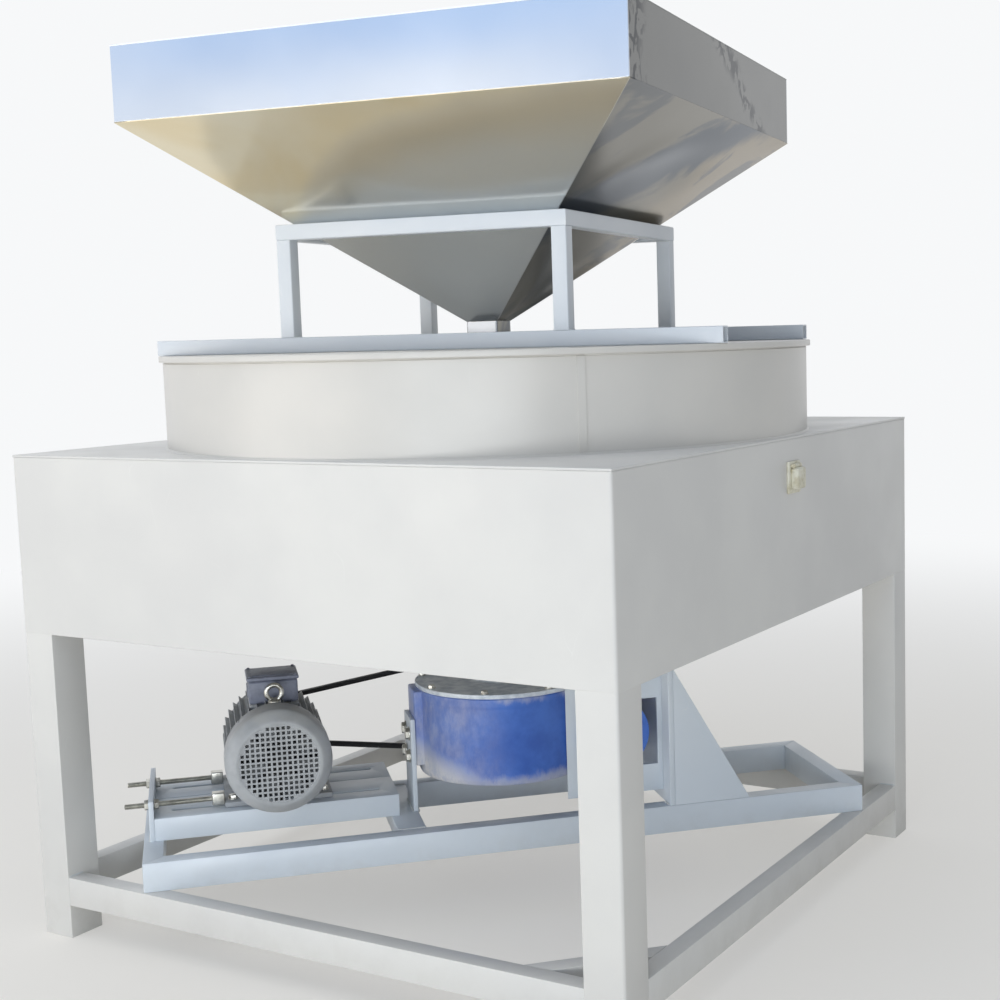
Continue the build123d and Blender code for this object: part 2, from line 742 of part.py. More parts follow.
# Left support: an upright bar bolted to the pad on the case
upright_x = (pad_face - upright_thickness, pad_face)
add_chassis("left_upright", block(upright_x, about(0, upright_width), (chassis_top, upright_top)))
gearbox_bolts = []
for row in support_bolt_rows:
    for side in (-1, 1):
        head_x = (upright_x[0] - support_bolt_head, upright_x[0])
        place = (side * support_bolt_spread / 2, row)
        gearbox_bolts.append(hex_bar(support_bolt_flats, head_x, "x", place))
cover_bolt_z = (cover_top, cover_top + cover_bolt_head)
for n in range(cover_bolt_count):
    bolt = hex_bar(cover_bolt_flats, cover_bolt_z, "z", (case_radius - cover_bolt_inset, 0))
    gearbox_bolts.append(Rot(0, 0, (n + 0.5) * 360 / cover_bolt_count) * bolt)
add_chassis("gearbox_bolts", *gearbox_bolts)

# Right support: upright plate, two gussets behind it, two windowed cheeks that hold the worm housing
plate_span = (right_plate_x, right_plate_x + right_plate_thickness)
plate_y = (-chassis_half_width, chassis_half_width)
add_chassis("right_upright", block(plate_span, plate_y, (chassis_top, right_plate_top)))
gusset_back = plate_span[1]
gusset_foot = [(gusset_back, 0, chassis_top), (gusset_back + gusset_length, 0, chassis_top)]
gusset = make_face(Polyline(*gusset_foot, (gusset_back, 0, right_plate_top), close=True))
gusset = extrude(gusset, gusset_thickness, dir=(0, 1, 0))
near_gusset = Pos(0, -chassis_half_width, 0) * gusset
far_gusset = Pos(0, chassis_half_width - gusset_thickness, 0) * gusset
add_chassis("gussets", near_gusset, far_gusset)

cheek_y = (housing_reach - cheek_thickness, housing_reach)
cheek = block((0, right_plate_x), cheek_y, (cheek_bottom, cheek_top))
cheek -= round_bar(case_radius + weld_gap, (cheek_bottom, cheek_top), "z", (0, 0))
window_x = (worm_x - cap_radius, right_plate_x - window_side_margin)
window_z = (worm_z - window_below_worm, worm_z + window_above_worm)
cheek -= block(window_x, cheek_y, window_z)
add_chassis("saddle_cheeks", cheek, mirror(cheek, Plane.XZ))


# Millstones dressed with straight furrows in harps; face to face, the furrows of the two stones cross
def furrows():
    """Furrow cutters standing on z = 0, one furrow depth high."""
    harp_angle = radians(360 / harp_count)
    cutters = []
    for harp in range(harp_count):
        for n in range(furrows_per_harp):
            offset = furrow_draft + n * furrow_spacing
            start = (offset * cos(harp_angle) - furrow_draft) / sin(harp_angle) if n else 0
            cutter = block((start, 2 * stone_radius), about(offset, furrow_width), (0, furrow_depth))
            cutters.append(Rot(0, 0, harp * 360 / harp_count) * cutter)
    return cutters


bed = round_bar(stone_radius, (deck_top, bed_top), "z", (0, 0))
bed -= [Pos(0, 0, bed_top - furrow_depth) * cutter for cutter in furrows()]
bed -= round_bar(bed_eye_radius, (deck_top, bed_top), "z", (0, 0))
add("bed_stone", bed)

rynd_top = runner_bottom + rynd_height + rynd_fit
rynd_length = 2 * (runner_eye_radius + rynd_reach)
runner = round_bar(stone_radius, (runner_bottom, runner_top), "z", (0, 0))
face_down = Pos(0, 0, runner_bottom + furrow_depth) * Rot(180, 0, 0)
runner -= [face_down * cutter for cutter in furrows()]
runner -= round_bar(runner_eye_radius, (runner_bottom, runner_top), "z", (0, 0))
pocket_x = about(0, rynd_length + 2 * rynd_fit)
pocket_y = about(0, rynd_width + 2 * rynd_fit)
runner -= block(pocket_x, pocket_y, (runner_bottom, rynd_top))
add("runner_stone", runner)

# Rynd: the bar across the runner's eye that the spindle drives
neck_radius = spindle_neck_radius + running_clearance
rynd = block(about(0, rynd_length), about(0, rynd_width), (rynd_top - rynd_height, rynd_top))
rynd -= bore_bar(neck_radius, (rynd_top - rynd_height, rynd_top), "z", (0, 0))
add("rynd", rynd)

# Mill spindle from the gearbox floor to the rynd
spindle_shoulder = rynd_top - rynd_height
spindle = shaft_bar(spindle_radius, (spindle_foot + end_float, spindle_shoulder), "z", (0, 0))
spindle += shaft_bar(spindle_neck_radius, (spindle_shoulder, rynd_top), "z", (0, 0))
add("mill_spindle", spindle)

# Neck bearing: flanged bush under the deck, standing up into the bed stone's eye
flange_z = (deck_under - neck_flange_thickness, deck_under)
bush_z = (flange_z[0], deck_top + neck_bush_up)
neck = bore_bar(neck_bush_radius, bush_z, "z", (0, 0))
neck += block(about(0, neck_flange_side), about(0, neck_flange_side), flange_z)
neck -= bore_bar(spindle_bore, bush_z, "z", (0, 0))
add("neck_bearing", neck)

# Flour sweepers on the runner's rim
sweep_y = about(0, sweeper_thickness)
sweep_tip = drum_inner - sweeper_drum_gap
sweeper = block((0, sweep_tip), sweep_y, (runner_bottom, runner_bottom + sweeper_up))
sweeper -= round_bar(stone_radius + weld_gap, (runner_bottom, runner_top), "z", (0, 0))
blade_x = (stone_radius + sweeper_stone_gap, sweep_tip)
sweeper += block(blade_x, sweep_y, (deck_top + sweeper_floor_gap, runner_bottom))
add("flour_sweepers", sweeper, Rot(0, 0, 180) * sweeper)

# Drum around the stones
drum = round_bar(drum_radius, (deck_top, drum_top), "z", (0, 0))
add("drum_shell", drum - round_bar(drum_inner, (deck_top, drum_top), "z", (0, 0)))

# Lid: a flat plate on a rim that rests on the drum
lid_underside = lid_top - lid_plate_thickness
rim_span = (drum_top, lid_underside)
lid_rim = shaft_bar(lip_radius, rim_span, "z", (0, 0), rim_sides)
lid_rim -= bore_bar(drum_inner, rim_span, "z", (0, 0), rim_sides)
lid_plate = round_bar(lip_radius, (lid_underside, lid_top), "z", (0, 0))
spout_hole = about(0, spout_side + 2 * spout_lid_gap)
lid_plate -= Rot(0, 0, hopper_turn) * block(spout_hole, spout_hole, (lid_underside, lid_top))
add("lid", lid_plate, lid_rim)

# Hopper stand: two base bars across the lid, four posts on them and a mitred ring on the posts
ring_bottom = stand_ring_top - stand_tube
base_bar_top = lid_top + stand_tube
base_bar_end = sqrt(lip_radius**2 - stand_half**2) + base_bar_overhang
base_bar_span = (-base_bar_end, base_bar_end)
post_span = (stand_inner, stand_half)
base_bar = tube(base_bar_span, post_span, (lid_top, base_bar_top), stand_wall, "x")
base_bars = [Rot(0, 0, SIDES[side]) * base_bar for side in ("front", "back")]
post = tube(post_span, post_span, (base_bar_top, ring_bottom), stand_wall, "z")
posts = [Rot(0, 0, angle) * post for angle in SIDES.values()]
ring_tube = mitred_tube(2 * stand_half, stand_tube, stand_tube, stand_wall)
ring_tubes = [Rot(0, 0, angle) * Pos(0, -stand_half, ring_bottom) * ring_tube for angle in SIDES.values()]
add("hopper_stand", *base_bars, *posts, *ring_tubes, turn=hopper_turn)

# Hopper: square collar, tapering body that rests in the stand's ring, and a short spout
spout_top = lid_top + spout_above_lid
ring_fit = stand_inner - weld_gap
taper = (ring_fit - spout_side / 2) / (stand_ring_top - spout_top)
collar_bottom = stand_ring_top + (hopper_half - ring_fit) / taper
body_corners = [
    (spout_side / 2, -spout_side / 2, spout_top),
    (spout_side / 2, spout_side / 2, spout_top),
    (hopper_half, hopper_half, collar_bottom),
    (hopper_half, -hopper_half, collar_bottom),
]
panel = make_face(Polyline(*body_corners, close=True))
panel = extrude(panel, hopper_sheet, dir=Vector(-1, 0, taper).normalized())
panel = panel & wedge(hopper_half, spout_top, collar_bottom)
body = [Rot(0, 0, angle) * panel for angle in SIDES.values()]
spout = quarters(spout_side, hopper_sheet, lid_top - spout_below_lid, spout_top)
collar_top = collar_bottom + collar_height
add("hopper_collar", *quarters(2 * hopper_half, hopper_sheet, collar_bottom, collar_top), turn=hopper_turn)
add("hopper_body", *body, *spout, turn=hopper_turn)

# Power inlet on the right apron: flat base with a closed, chamfered cover
base_x = (half, half + inlet_base_thickness)
inlet = block(base_x, about(inlet_y, inlet_width), about(inlet_z, inlet_height))
cover_x = (base_x[1], base_x[1] + inlet_cover_reach)
inlet_cover = block(cover_x, about(inlet_y, inlet_cover_width), about(inlet_z, inlet_cover_height))
inlet_cover = chamfer(inlet_cover.faces().sort_by(Axis.X)[-1].edges(), inlet_cover_chamfer)
add("power_inlet", inlet + inlet_cover)

os.makedirs("parts", exist_ok=True)
for name, shape in parts.items():
    export_step(shape, f"parts/{name}.step")
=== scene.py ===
import json
from math import asin, atan2, ceil, cos, exp, hypot, pi, radians, sin, tau
from random import Random

import bmesh
import bpy
from mathutils import Matrix, Vector

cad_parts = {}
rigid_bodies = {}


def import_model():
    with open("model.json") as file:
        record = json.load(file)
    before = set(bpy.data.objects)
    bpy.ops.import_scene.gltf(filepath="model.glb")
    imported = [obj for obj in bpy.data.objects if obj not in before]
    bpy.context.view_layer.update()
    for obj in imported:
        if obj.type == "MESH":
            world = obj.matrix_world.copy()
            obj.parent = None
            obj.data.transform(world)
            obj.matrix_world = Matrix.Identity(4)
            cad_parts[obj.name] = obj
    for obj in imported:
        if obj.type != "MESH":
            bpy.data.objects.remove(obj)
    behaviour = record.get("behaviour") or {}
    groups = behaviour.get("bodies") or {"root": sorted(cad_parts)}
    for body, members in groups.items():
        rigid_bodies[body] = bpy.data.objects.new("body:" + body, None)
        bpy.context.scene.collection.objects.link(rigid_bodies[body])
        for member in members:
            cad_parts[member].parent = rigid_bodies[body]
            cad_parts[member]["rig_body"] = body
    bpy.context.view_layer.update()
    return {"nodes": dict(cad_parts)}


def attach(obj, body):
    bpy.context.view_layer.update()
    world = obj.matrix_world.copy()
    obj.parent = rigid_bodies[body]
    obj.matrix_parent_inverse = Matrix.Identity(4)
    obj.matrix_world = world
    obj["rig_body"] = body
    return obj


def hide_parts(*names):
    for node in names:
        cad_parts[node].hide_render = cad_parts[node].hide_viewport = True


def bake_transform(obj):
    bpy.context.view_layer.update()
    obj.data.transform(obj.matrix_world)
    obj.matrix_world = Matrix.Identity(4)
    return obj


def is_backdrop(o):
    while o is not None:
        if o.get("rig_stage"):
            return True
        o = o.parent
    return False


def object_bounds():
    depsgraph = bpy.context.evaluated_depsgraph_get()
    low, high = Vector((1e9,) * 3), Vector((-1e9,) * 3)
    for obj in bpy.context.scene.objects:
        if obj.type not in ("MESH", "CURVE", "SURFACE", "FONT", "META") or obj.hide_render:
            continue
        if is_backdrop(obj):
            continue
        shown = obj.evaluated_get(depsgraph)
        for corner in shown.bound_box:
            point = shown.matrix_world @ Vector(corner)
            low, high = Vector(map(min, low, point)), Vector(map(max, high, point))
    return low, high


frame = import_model()

# Stone mill, in metres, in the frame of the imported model.
# The table, drum and stones lie square to it; the chassis and the hopper are turned about the spindle.
CHASSIS_TURN = 45
HOPPER_TURN = 8.8
CHASSIS = Matrix.Rotation(radians(CHASSIS_TURN), 4, "Z")
HOPPER = Matrix.Rotation(radians(HOPPER_TURN), 4, "Z")
SQUARE = Matrix.Identity(4)

# Radius at which a turned solid closes on its axis, on large and on small pieces
CORE = 0.001
FINE_CORE = 0.0005


def fold_height(x):
    """Height of the soft fold on a hopper panel, which climbs from the ring's left corner to the right."""
    return 1.642 - 0.186 * 0.00518 ** (x + 0.27)


# Materials

class Wire:
    """A value, colour or vector inside a material; sums on it add the nodes that work it out."""

    def __init__(self, finish, socket):
        self.finish = finish
        self.socket = socket

    def sum(self, operation, first, second):
        kind = "Math"
        sockets = {0: first, 1: second}
        if any(isinstance(w, Wire) and w.socket.type == "VECTOR" for w in (first, second)):
            kind = "VectorMath"
            sockets = {k: (v, v, v) if isinstance(v, (int, float)) else v for k, v in sockets.items()}
        return self.finish.node(kind, {"operation": operation}, sockets)

    def __add__(self, other):
        return self.sum("ADD", self, other)

    def __sub__(self, other):
        return self.sum("SUBTRACT", self, other)

    def __rsub__(self, other):
        return self.sum("SUBTRACT", other, self)

    def __mul__(self, other):
        return self.sum("MULTIPLY", self, other)

    def __rmul__(self, other):
        return self.sum("MULTIPLY", other, self)

    def __rpow__(self, other):
        return self.sum("POWER", other, self)


def tone(red, green, blue):
    """Linear colour from the red, green and blue that a colour chart gives, 0 to 255."""
    shares = [c / 255 for c in (red, green, blue)]
    return tuple(s / 12.92 if s <= 0.04045 else ((s + 0.055) / 1.055) ** 2.4 for s in shares) + (1,)


class Finish:
    """A material being written; its pattern lies in the piece's own place in the frame."""

    def __init__(self, name, world=None):
        self.material = world or bpy.data.materials.new(name)
        self.material.use_nodes = True
        self.tree = self.material.node_tree
        self.tree.nodes.clear()

    def node(self, kind, settings=None, sockets=None, out=0):
        """Adds a node with its settings and inputs, and gives one of its outputs."""
        made = self.tree.nodes.new("ShaderNode" + kind)
        for key, value in (settings or {}).items():
            setattr(made, key, value)
        for key, value in (sockets or {}).items():
            if isinstance(value, Wire):
                self.tree.links.new(value.socket, made.inputs[key])
            else:
                made.inputs[key].default_value = value
        return Wire(self, made.outputs[out]) if made.outputs else made

    def part(self, vector, letter):
        return self.node("SeparateXYZ", {}, {0: vector}, out=letter)

    def place(self):
        return self.node("TexCoord", out="Object")

    def facing(self, letter):
        """One part of the direction that the surface faces."""
        return self.part(self.node("NewGeometry", out="Normal"), letter)

    def axis(self, letter, turn=0):
        """One coordinate of the piece's place, in axes turned about the spindle."""
        place = self.place()
        if turn:
            place = self.node("VectorRotate", {"rotation_type": "Z_AXIS"},
                              {"Vector": place, "Angle": -radians(turn)})
        return self.part(place, letter)

    def noise(self, scale, detail=3.0, rough=0.55, stretch=None, warp=0.0, at=None):
        place = at or self.place()
        if stretch:
            place = place * stretch
        return self.node("TexNoise", {}, {
            "Vector": place, "Scale": scale, "Detail": detail, "Roughness": rough, "Distortion": warp})

    def step(self, value, low, high, to_low=0.0, to_high=1.0):
        """Smooth change from one value to another between two limits."""
        return self.node("MapRange", {"interpolation_type": "SMOOTHSTEP"}, {
            "Value": value, "From Min": low, "From Max": high, "To Min": to_low, "To Max": to_high})

    def until(self, value, low, high):
        """1 below two limits, 0 above them."""
        return self.step(value, low, high, 1.0, 0.0)

    def mix(self, share, first, second):
        return self.node("Mix", {"data_type": "RGBA"}, {0: share, 6: first, 7: second}, out=2)

    def size(self, value):
        """Size of a value without its sign."""
        return self.node("Math", {"operation": "ABSOLUTE"}, {0: value})

    def larger(self, first, second):
        return self.node("Math", {"operation": "MAXIMUM"}, {0: first, 1: second})

    def seen(self):
        """1 for what the camera sees directly or in a mirror, 0 for light that falls on a piece."""
        ways = ("Camera", "Glossy", "Transmission")
        camera, glossy, through = [self.node("LightPath", out=f"Is {way} Ray") for way in ways]
        return camera + glossy + through

    def bump(self, height, strength, depth, under=None):
        sockets = {"Height": height, "Strength": strength, "Distance": depth}
        if under:
            sockets["Normal"] = under
        return self.node("Bump", {}, sockets)

    def surface(self, **values):
        names = {"colour": "Base Color", "roughness": "Roughness", "metal": "Metallic", "normal": "Normal",
                 "gloss": "Specular IOR Level"}
        skin = self.node("BsdfPrincipled", {}, {names[k]: v for k, v in values.items()})
        self.node("OutputMaterial", {}, {"Surface": skin})
        return self.material


def scratches(f, scale, thin, stretch):
    """Sparse thin lines where a stretched noise crosses its middle."""
    near = f.size(f.noise(scale, 2, 0.4, stretch) - 0.5)
    here = f.step(f.noise(scale * 0.35, 2), 0.56, 0.66)
    return f.until(near, 0.0, thin) * here


def paint(name, light, dark, gloss_low=0.30, gloss_high=0.46, dust=0.35):
    """Sprayed enamel over sheet and tube: cloudy tone, fine orange peel, slow waves, dust near the floor."""
    f = Finish(name)
    cloud = f.noise(1.4, 3, 0.5, warp=0.4)
    drift = f.noise(7.5, 3, 0.5)
    colour = f.mix(f.step(cloud * 0.7 + drift * 0.3, 0.36, 0.64), dark, light)
    rubbed = scratches(f, 16, 0.003, (1, 1, 0.25))
    colour = f.mix(rubbed * 0.15, colour, tone(240, 240, 236))
    low = f.until(f.axis("Z"), 0.0, 0.22) * f.step(f.noise(16, 4, 0.65), 0.40, 0.72)
    colour = f.mix(low * dust, colour, tone(168, 160, 146))
    roughness = f.step(f.noise(5, 4, 0.6), 0.3, 0.7, gloss_low, gloss_high) + low * 0.2
    waves = f.bump(f.noise(3.2, 2, 0.4), 0.25, 0.004)
    peel = f.bump(f.noise(420, 2, 0.5), 0.10, 0.0006, waves)
    return f.surface(colour=colour, roughness=roughness, normal=peel, gloss=0.5)


def bright_sheet(f, colour, right, wave):
    """Bright rolled sheet: soft mirror with fine rolling lines, duller on the right face and inside."""
    lines = f.noise(26, 3, 0.5, (1, 1, 14))
    roughness = f.step(f.noise(2.6, 4, 0.6), 0.3, 0.72, 0.13, 0.20) + right * 0.04 + (lines - 0.5) * 0.03
    outward = f.facing("X") * f.axis("X") + f.facing("Y") * f.axis("Y")
    inside = f.until(outward, -0.012, -0.002)
    colour = f.mix(inside, colour, f.mix(f.noise(9, 4, 0.6), tone(170, 172, 173), tone(196, 198, 198)))
    roughness = roughness + inside * 0.26
    slow = f.bump(f.noise(2.2, 2, 0.4), 0.30, wave)
    grain = f.bump(lines, 0.03, 0.0008, slow)
    return f.surface(colour=colour, roughness=roughness, metal=1.0, normal=grain)


def hopper_axes(f):
    """Across, depth and height on the hopper, and the share that is 1 on its right face."""
    across, depth, height = f.axis("X", HOPPER_TURN), f.axis("Y", HOPPER_TURN), f.axis("Z")
    right = f.step(across - f.size(depth) * 0.995, 0.0, 0.008)
    return across, depth, height, right


def collar_sheet(name):
    """Collar: bright front tinted with a painted sky-blue reflection, right face a painted dark grey
    reflection, with torn dark marks of painted reflections by its edge and in a slant.
    """
    f = Finish(name)
    _, depth, height, right = hopper_axes(f)
    # Front: bright metal tinted sky blue, a painted reflection of the sky.
    sky_tinted_front = f.mix(f.step(f.noise(3.0, 3, 0.5), 0.35, 0.65), tone(228, 234, 243), tone(238, 242, 248))
    # Torn dark marks: painted reflections of dark things, in a slant band and by the edge.
    reflection_marks = f.step(f.noise(17, 4, 0.55, (1, 1, 0.8), 2.2), 0.49, 0.52)
    slant = f.size(depth + height * 2.1 - 3.76 + (f.noise(7, 3) - 0.5) * 0.2)
    band = f.until(slant, 0.02, 0.09)
    edge = f.until(depth + (f.noise(9, 3) - 0.5) * 0.16, -0.50, -0.43)
    # Right face: dark grey, a painted reflection of the dark surroundings.
    painted_dark_reflection = f.mix(f.noise(5, 4, 0.6), tone(101, 102, 102), tone(114, 114, 112))
    painted_dark_reflection = f.mix(reflection_marks * (band + edge), painted_dark_reflection, tone(42, 45, 50))
    return bright_sheet(f, f.mix(right, sky_tinted_front, painted_dark_reflection), right, 0.001)


def taper_sheet(name):
    """Tapering body: in front a painted warm reflection of tan ground above a soft fold, a painted shade
    band under the fold line, grey below; on the right a painted dark reflection with dark streaks and a
    painted shadow band.
    """
    f = Finish(name)
    across, depth, height, right = hopper_axes(f)
    over = height - fold_height(across) + (f.noise(4.0, 3, 0.5) - 0.5) * 0.05
    grey = f.mix(f.step(height, 1.44, 1.52), tone(228, 231, 232), tone(228, 226, 218))
    # Front above the fold: warm tan tint, a painted reflection of sunlit ground.
    reflection_mottle = f.step(f.noise(3.4, 3, 0.5, warp=0.6), 0.35, 0.65)
    painted_tan_reflection = f.mix(reflection_mottle, tone(246, 231, 196), tone(252, 242, 216))
    # Painted shade: a darker tan band just under the fold line.
    painted_shade_band = f.step(over, -0.085, -0.012) * f.until(over, -0.012, 0.030)
    front = f.mix(f.step(over, -0.020, 0.035) * f.step(height, 1.44, 1.50), grey, painted_tan_reflection)
    front = f.mix(painted_shade_band * f.step(height, 1.46, 1.52) * 0.75, front, tone(224, 211, 184))
    # Spout: the same sheet written darker, painted shade that dims the lamp's reflection in it.
    spout = f.until(height, 1.250, 1.254) * f.step(height, 1.10, 1.12)
    front = f.mix(spout, front, tone(140, 144, 150))
    # Right face: dark streaks and a painted shadow band over a painted dark reflection of the surroundings,
    # warmer towards the rear.
    across_streak = depth * 0.45 - height + 1.56
    along_streak = depth + height * 0.45
    drawn = f.node("CombineXYZ", {}, {0: across_streak * 5.0, 1: along_streak * 2.2, 2: 0.0})
    cloud = f.noise(1.3, 5, 0.60, warp=0.8, at=drawn)
    streaks = f.step(cloud, 0.53, 0.60) * 0.7
    shadow = f.until(f.size(across_streak + (cloud - 0.5) * 0.22), 0.035, 0.075)
    rear = f.step(depth + (f.noise(5, 3) - 0.5) * 0.3, 0.02, 0.26)
    painted_dark_reflection = f.mix(rear, tone(129, 126, 118), tone(141, 132, 116))
    painted_dark_reflection = f.mix(f.larger(shadow, streaks), painted_dark_reflection, tone(84, 90, 98))
    return bright_sheet(f, f.mix(right, front, painted_dark_reflection), right, 0.003)


def mottled(name, patch, limits, tones, shine_scale, rough, grain, relief, **more):
    """Surface of two tones in patches, with uneven roughness and a fine relief."""
    f = Finish(name)
    colour = f.mix(f.step(f.noise(*patch), *limits), *tones)
    roughness = f.step(f.noise(shine_scale, 3), 0.3, 0.7, *rough)
    return f.surface(colour=colour, roughness=roughness, normal=f.bump(f.noise(*grain), *relief), **more)


def metal(name, light, dark, rough_low, rough_high, grain=180, depth=0.0004, shine=1.0):
    """Bare or plated metal."""
    return mottled(name, (38, 4, 0.6), (0.32, 0.68), (dark, light), 60, (rough_low, rough_high),
                   (grain, 3, 0.6), (0.22, depth), metal=shine)


def moulded(name, light, dark, rough):
    """Moulded plastic with a fine matt skin and a little grime."""
    return mottled(name, (48, 4, 0.6), (0.42, 0.70), (light, dark), 70, (rough, rough + 0.15),
                   (600, 2), (0.15, 0.0003), gloss=0.5)


def weld_metal(name, light, dark):
    """Stick-weld bead: dull ripples with brighter crowns."""
    return mottled(name, (210, 3, 0.6), (0.35, 0.65), (dark, light), 160, (0.28, 0.5),
                   (300, 3), (0.4, 0.0006), metal=0.85)


def cast_paint(name, light, dark, dust, dust_share, grain=140):
    """Paint over a casting: pebbled skin, dust on what faces up."""
    f = Finish(name)
    tint = f.mix(f.step(f.noise(14, 4, 0.6), 0.34, 0.66), dark, light)
    settled = f.step(f.facing("Z"), 0.15, 0.95) * f.step(f.noise(24, 4, 0.65), 0.35, 0.65)
    colour = f.mix(settled * dust_share, tint, dust)
    roughness = f.step(f.noise(30, 3), 0.3, 0.7, 0.38, 0.55) + settled * 0.25
    normal = f.bump(f.noise(grain, 4, 0.65), 0.30, 0.0009)
    return f.surface(colour=colour, roughness=roughness, normal=normal, gloss=0.45)


def gearbox_blue(name):
    """Blue machine enamel: whitish patches on the left, low down on the left and along the foot, rubbed rim,
    a few thin scratches.
    """
    f = Finish(name)
    along, height = f.axis("X", CHASSIS_TURN), f.axis("Z")
    blue = f.mix(f.step(f.noise(11, 4, 0.6), 0.33, 0.67), tone(56, 98, 186), tone(72, 118, 206))
    soft = f.noise(6, 3, 0.5) - 0.5
    fine = f.noise(46, 6, 0.68, (1, 1, 0.45)) - 0.5
    # Whitish patches: paler on the left, low down on the left and along the foot.
    pale_left = f.until(along + soft * 0.12, -0.17, 0.0) * (fine * 0.5 + 0.26)
    pale_low_left = f.until(height + along * 0.75 + soft * 0.07 + fine * 0.06, 0.170, 0.250)
    foot = f.until(height + soft * 0.08 + fine * 0.05, 0.262, 0.290)
    rim = f.step(height + fine * 0.03, 0.440, 0.457) * f.step(soft, -0.05, 0.10)
    lines = scratches(f, 14, 0.007, (1, 1, 0.22))
    pale_marks = pale_low_left * 0.88
    for share in (pale_left, foot * 0.6, rim * 0.5, lines * 0.8):
        pale_marks = f.larger(pale_marks, share)
    chalk = f.mix(f.step(fine, -0.15, 0.15), tone(196, 198, 204), tone(230, 225, 216))
    roughness = f.step(f.noise(22, 3), 0.3, 0.7, 0.30, 0.42) + pale_marks * 0.3
    normal = f.bump(f.noise(90, 4, 0.6), 0.22, 0.0010)
    return f.surface(colour=f.mix(pale_marks, blue, chalk), roughness=roughness, normal=normal, gloss=0.5)


def stone(name):
    """Dressed millstone: pale grit, open pores and darker inclusions."""
    f = Finish(name)
    grit = f.noise(170, 4, 0.7)
    ground = f.mix(f.step(f.noise(6, 4), 0.3, 0.7), tone(176, 168, 152), tone(206, 199, 184))
    ground = f.mix(f.step(grit, 0.58, 0.70) * 0.6, ground, tone(120, 110, 98))
    cells = f.node("TexVoronoi", {"feature": "F1"}, {"Vector": f.place(), "Scale": 85}, "Distance")
    pores = f.until(cells, 0.10, 0.24)
    colour = f.mix(pores * 0.5, ground, tone(92, 84, 74))
    normal = f.bump(grit - pores * 0.8, 0.55, 0.0025)
    return f.surface(colour=colour, roughness=f.step(grit, 0.3, 0.7, 0.78, 0.95), normal=normal, gloss=0.25)


def rubber(name):
    """Black belt rubber with a dusty bloom and faint cloth weave."""
    f = Finish(name)
    bloom = f.step(f.noise(34, 4, 0.6), 0.4, 0.75)
    colour = f.mix(bloom * 0.5, tone(22, 22, 23), tone(66, 64, 62))
    weave = f.bump(f.noise(900, 1, 0.4), 0.3, 0.0004)
    return f.surface(colour=colour, roughness=f.step(bloom, 0, 1, 0.55, 0.8), normal=weave, gloss=0.4)


TABLE_PAINT = paint("table_enamel", tone(220, 218, 213), tone(213, 211, 207), dust=0.12)
DRUM_PAINT = paint("drum_enamel", tone(213, 209, 202), tone(206, 203, 197), 0.29, 0.37)
# Chassis enamel: the table's white-grey written bluer and a touch lighter, painted sky light on the parts
# under the table.
CHASSIS_SKYLIT_PAINT = paint("chassis_enamel_skylit", tone(221, 228, 234), tone(211, 219, 227))
STAND_PAINT = paint("stand_enamel", tone(218, 222, 226), tone(210, 216, 222))
COLLAR_SHEET = collar_sheet("bright_collar_sheet")
TAPER_SHEET = taper_sheet("bright_taper_sheet")
WELD = weld_metal("hopper_weld", tone(205, 205, 200), tone(120, 120, 118))
PAINTED_WELD = paint("painted_weld", tone(214, 216, 215), tone(198, 202, 203), 0.35, 0.5)
MOTOR_PAINT = cast_paint("motor_grey", tone(178, 181, 183), tone(160, 163, 166), tone(190, 187, 178), 0.35)
COWL_PAINT = cast_paint("cowl_grey", tone(182, 184, 185), tone(166, 168, 170), tone(194, 191, 182),
                        0.30, 320)
BOX_GREY = moulded("terminal_box_grey", tone(128, 133, 150), tone(110, 114, 128), 0.38)
ZINC = metal("zinc_plate", tone(216, 214, 206), tone(178, 176, 168), 0.29, 0.44)
STEEL = metal("turned_steel", tone(186, 188, 190), tone(150, 152, 155), 0.29, 0.40, 320, 0.0002)
IRON = cast_paint("cast_iron", tone(92, 93, 95), tone(70, 71, 74), tone(140, 134, 124), 0.35, 120)
BLUE = gearbox_blue("gearbox_blue")
COVER = metal("bare_cover", tone(230, 236, 242), tone(192, 201, 212), 0.38, 0.58, 60, 0.0008, 0.12)
BRONZE = metal("bronze", tone(196, 150, 88), tone(160, 116, 62), 0.28, 0.44)
RUBBER = rubber("belt_rubber")
STONE = stone("millstone")
INLET = moulded("inlet_ivory", tone(226, 222, 204), tone(196, 188, 160), 0.42)
FAN = moulded("fan_black", tone(38, 38, 40), tone(60, 58, 56), 0.5)


# Places

def at(x, y, z, axes=CHASSIS):
    return axes @ Matrix.Translation((x, y, z))


def along_y(x, y, z, axes=CHASSIS):
    """Place whose Z axis lies along +Y of the given axes."""
    return at(x, y, z, axes) @ Matrix.Rotation(radians(-90), 4, "X")


def along_x(x, y, z, axes=CHASSIS):
    """Place whose Z axis lies along +X of the given axes."""
    return at(x, y, z, axes) @ Matrix.Rotation(radians(90), 4, "Y")


def quarter(turns, axes=SQUARE):
    """Axes turned by a number of right angles about the spindle."""
    return axes @ Matrix.Rotation(turns * pi / 2, 4, "Z")


def body_of(node):
    return frame["nodes"][node]["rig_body"]


def box_of(node, axes=CHASSIS):
    """Lowest and highest corner of a node, in axes turned about the spindle."""
    back = axes.inverted()
    points = [back @ v.co for v in frame["nodes"][node].data.vertices]
    return Vector(map(min, zip(*points))), Vector(map(max, zip(*points)))


# Mesh helpers

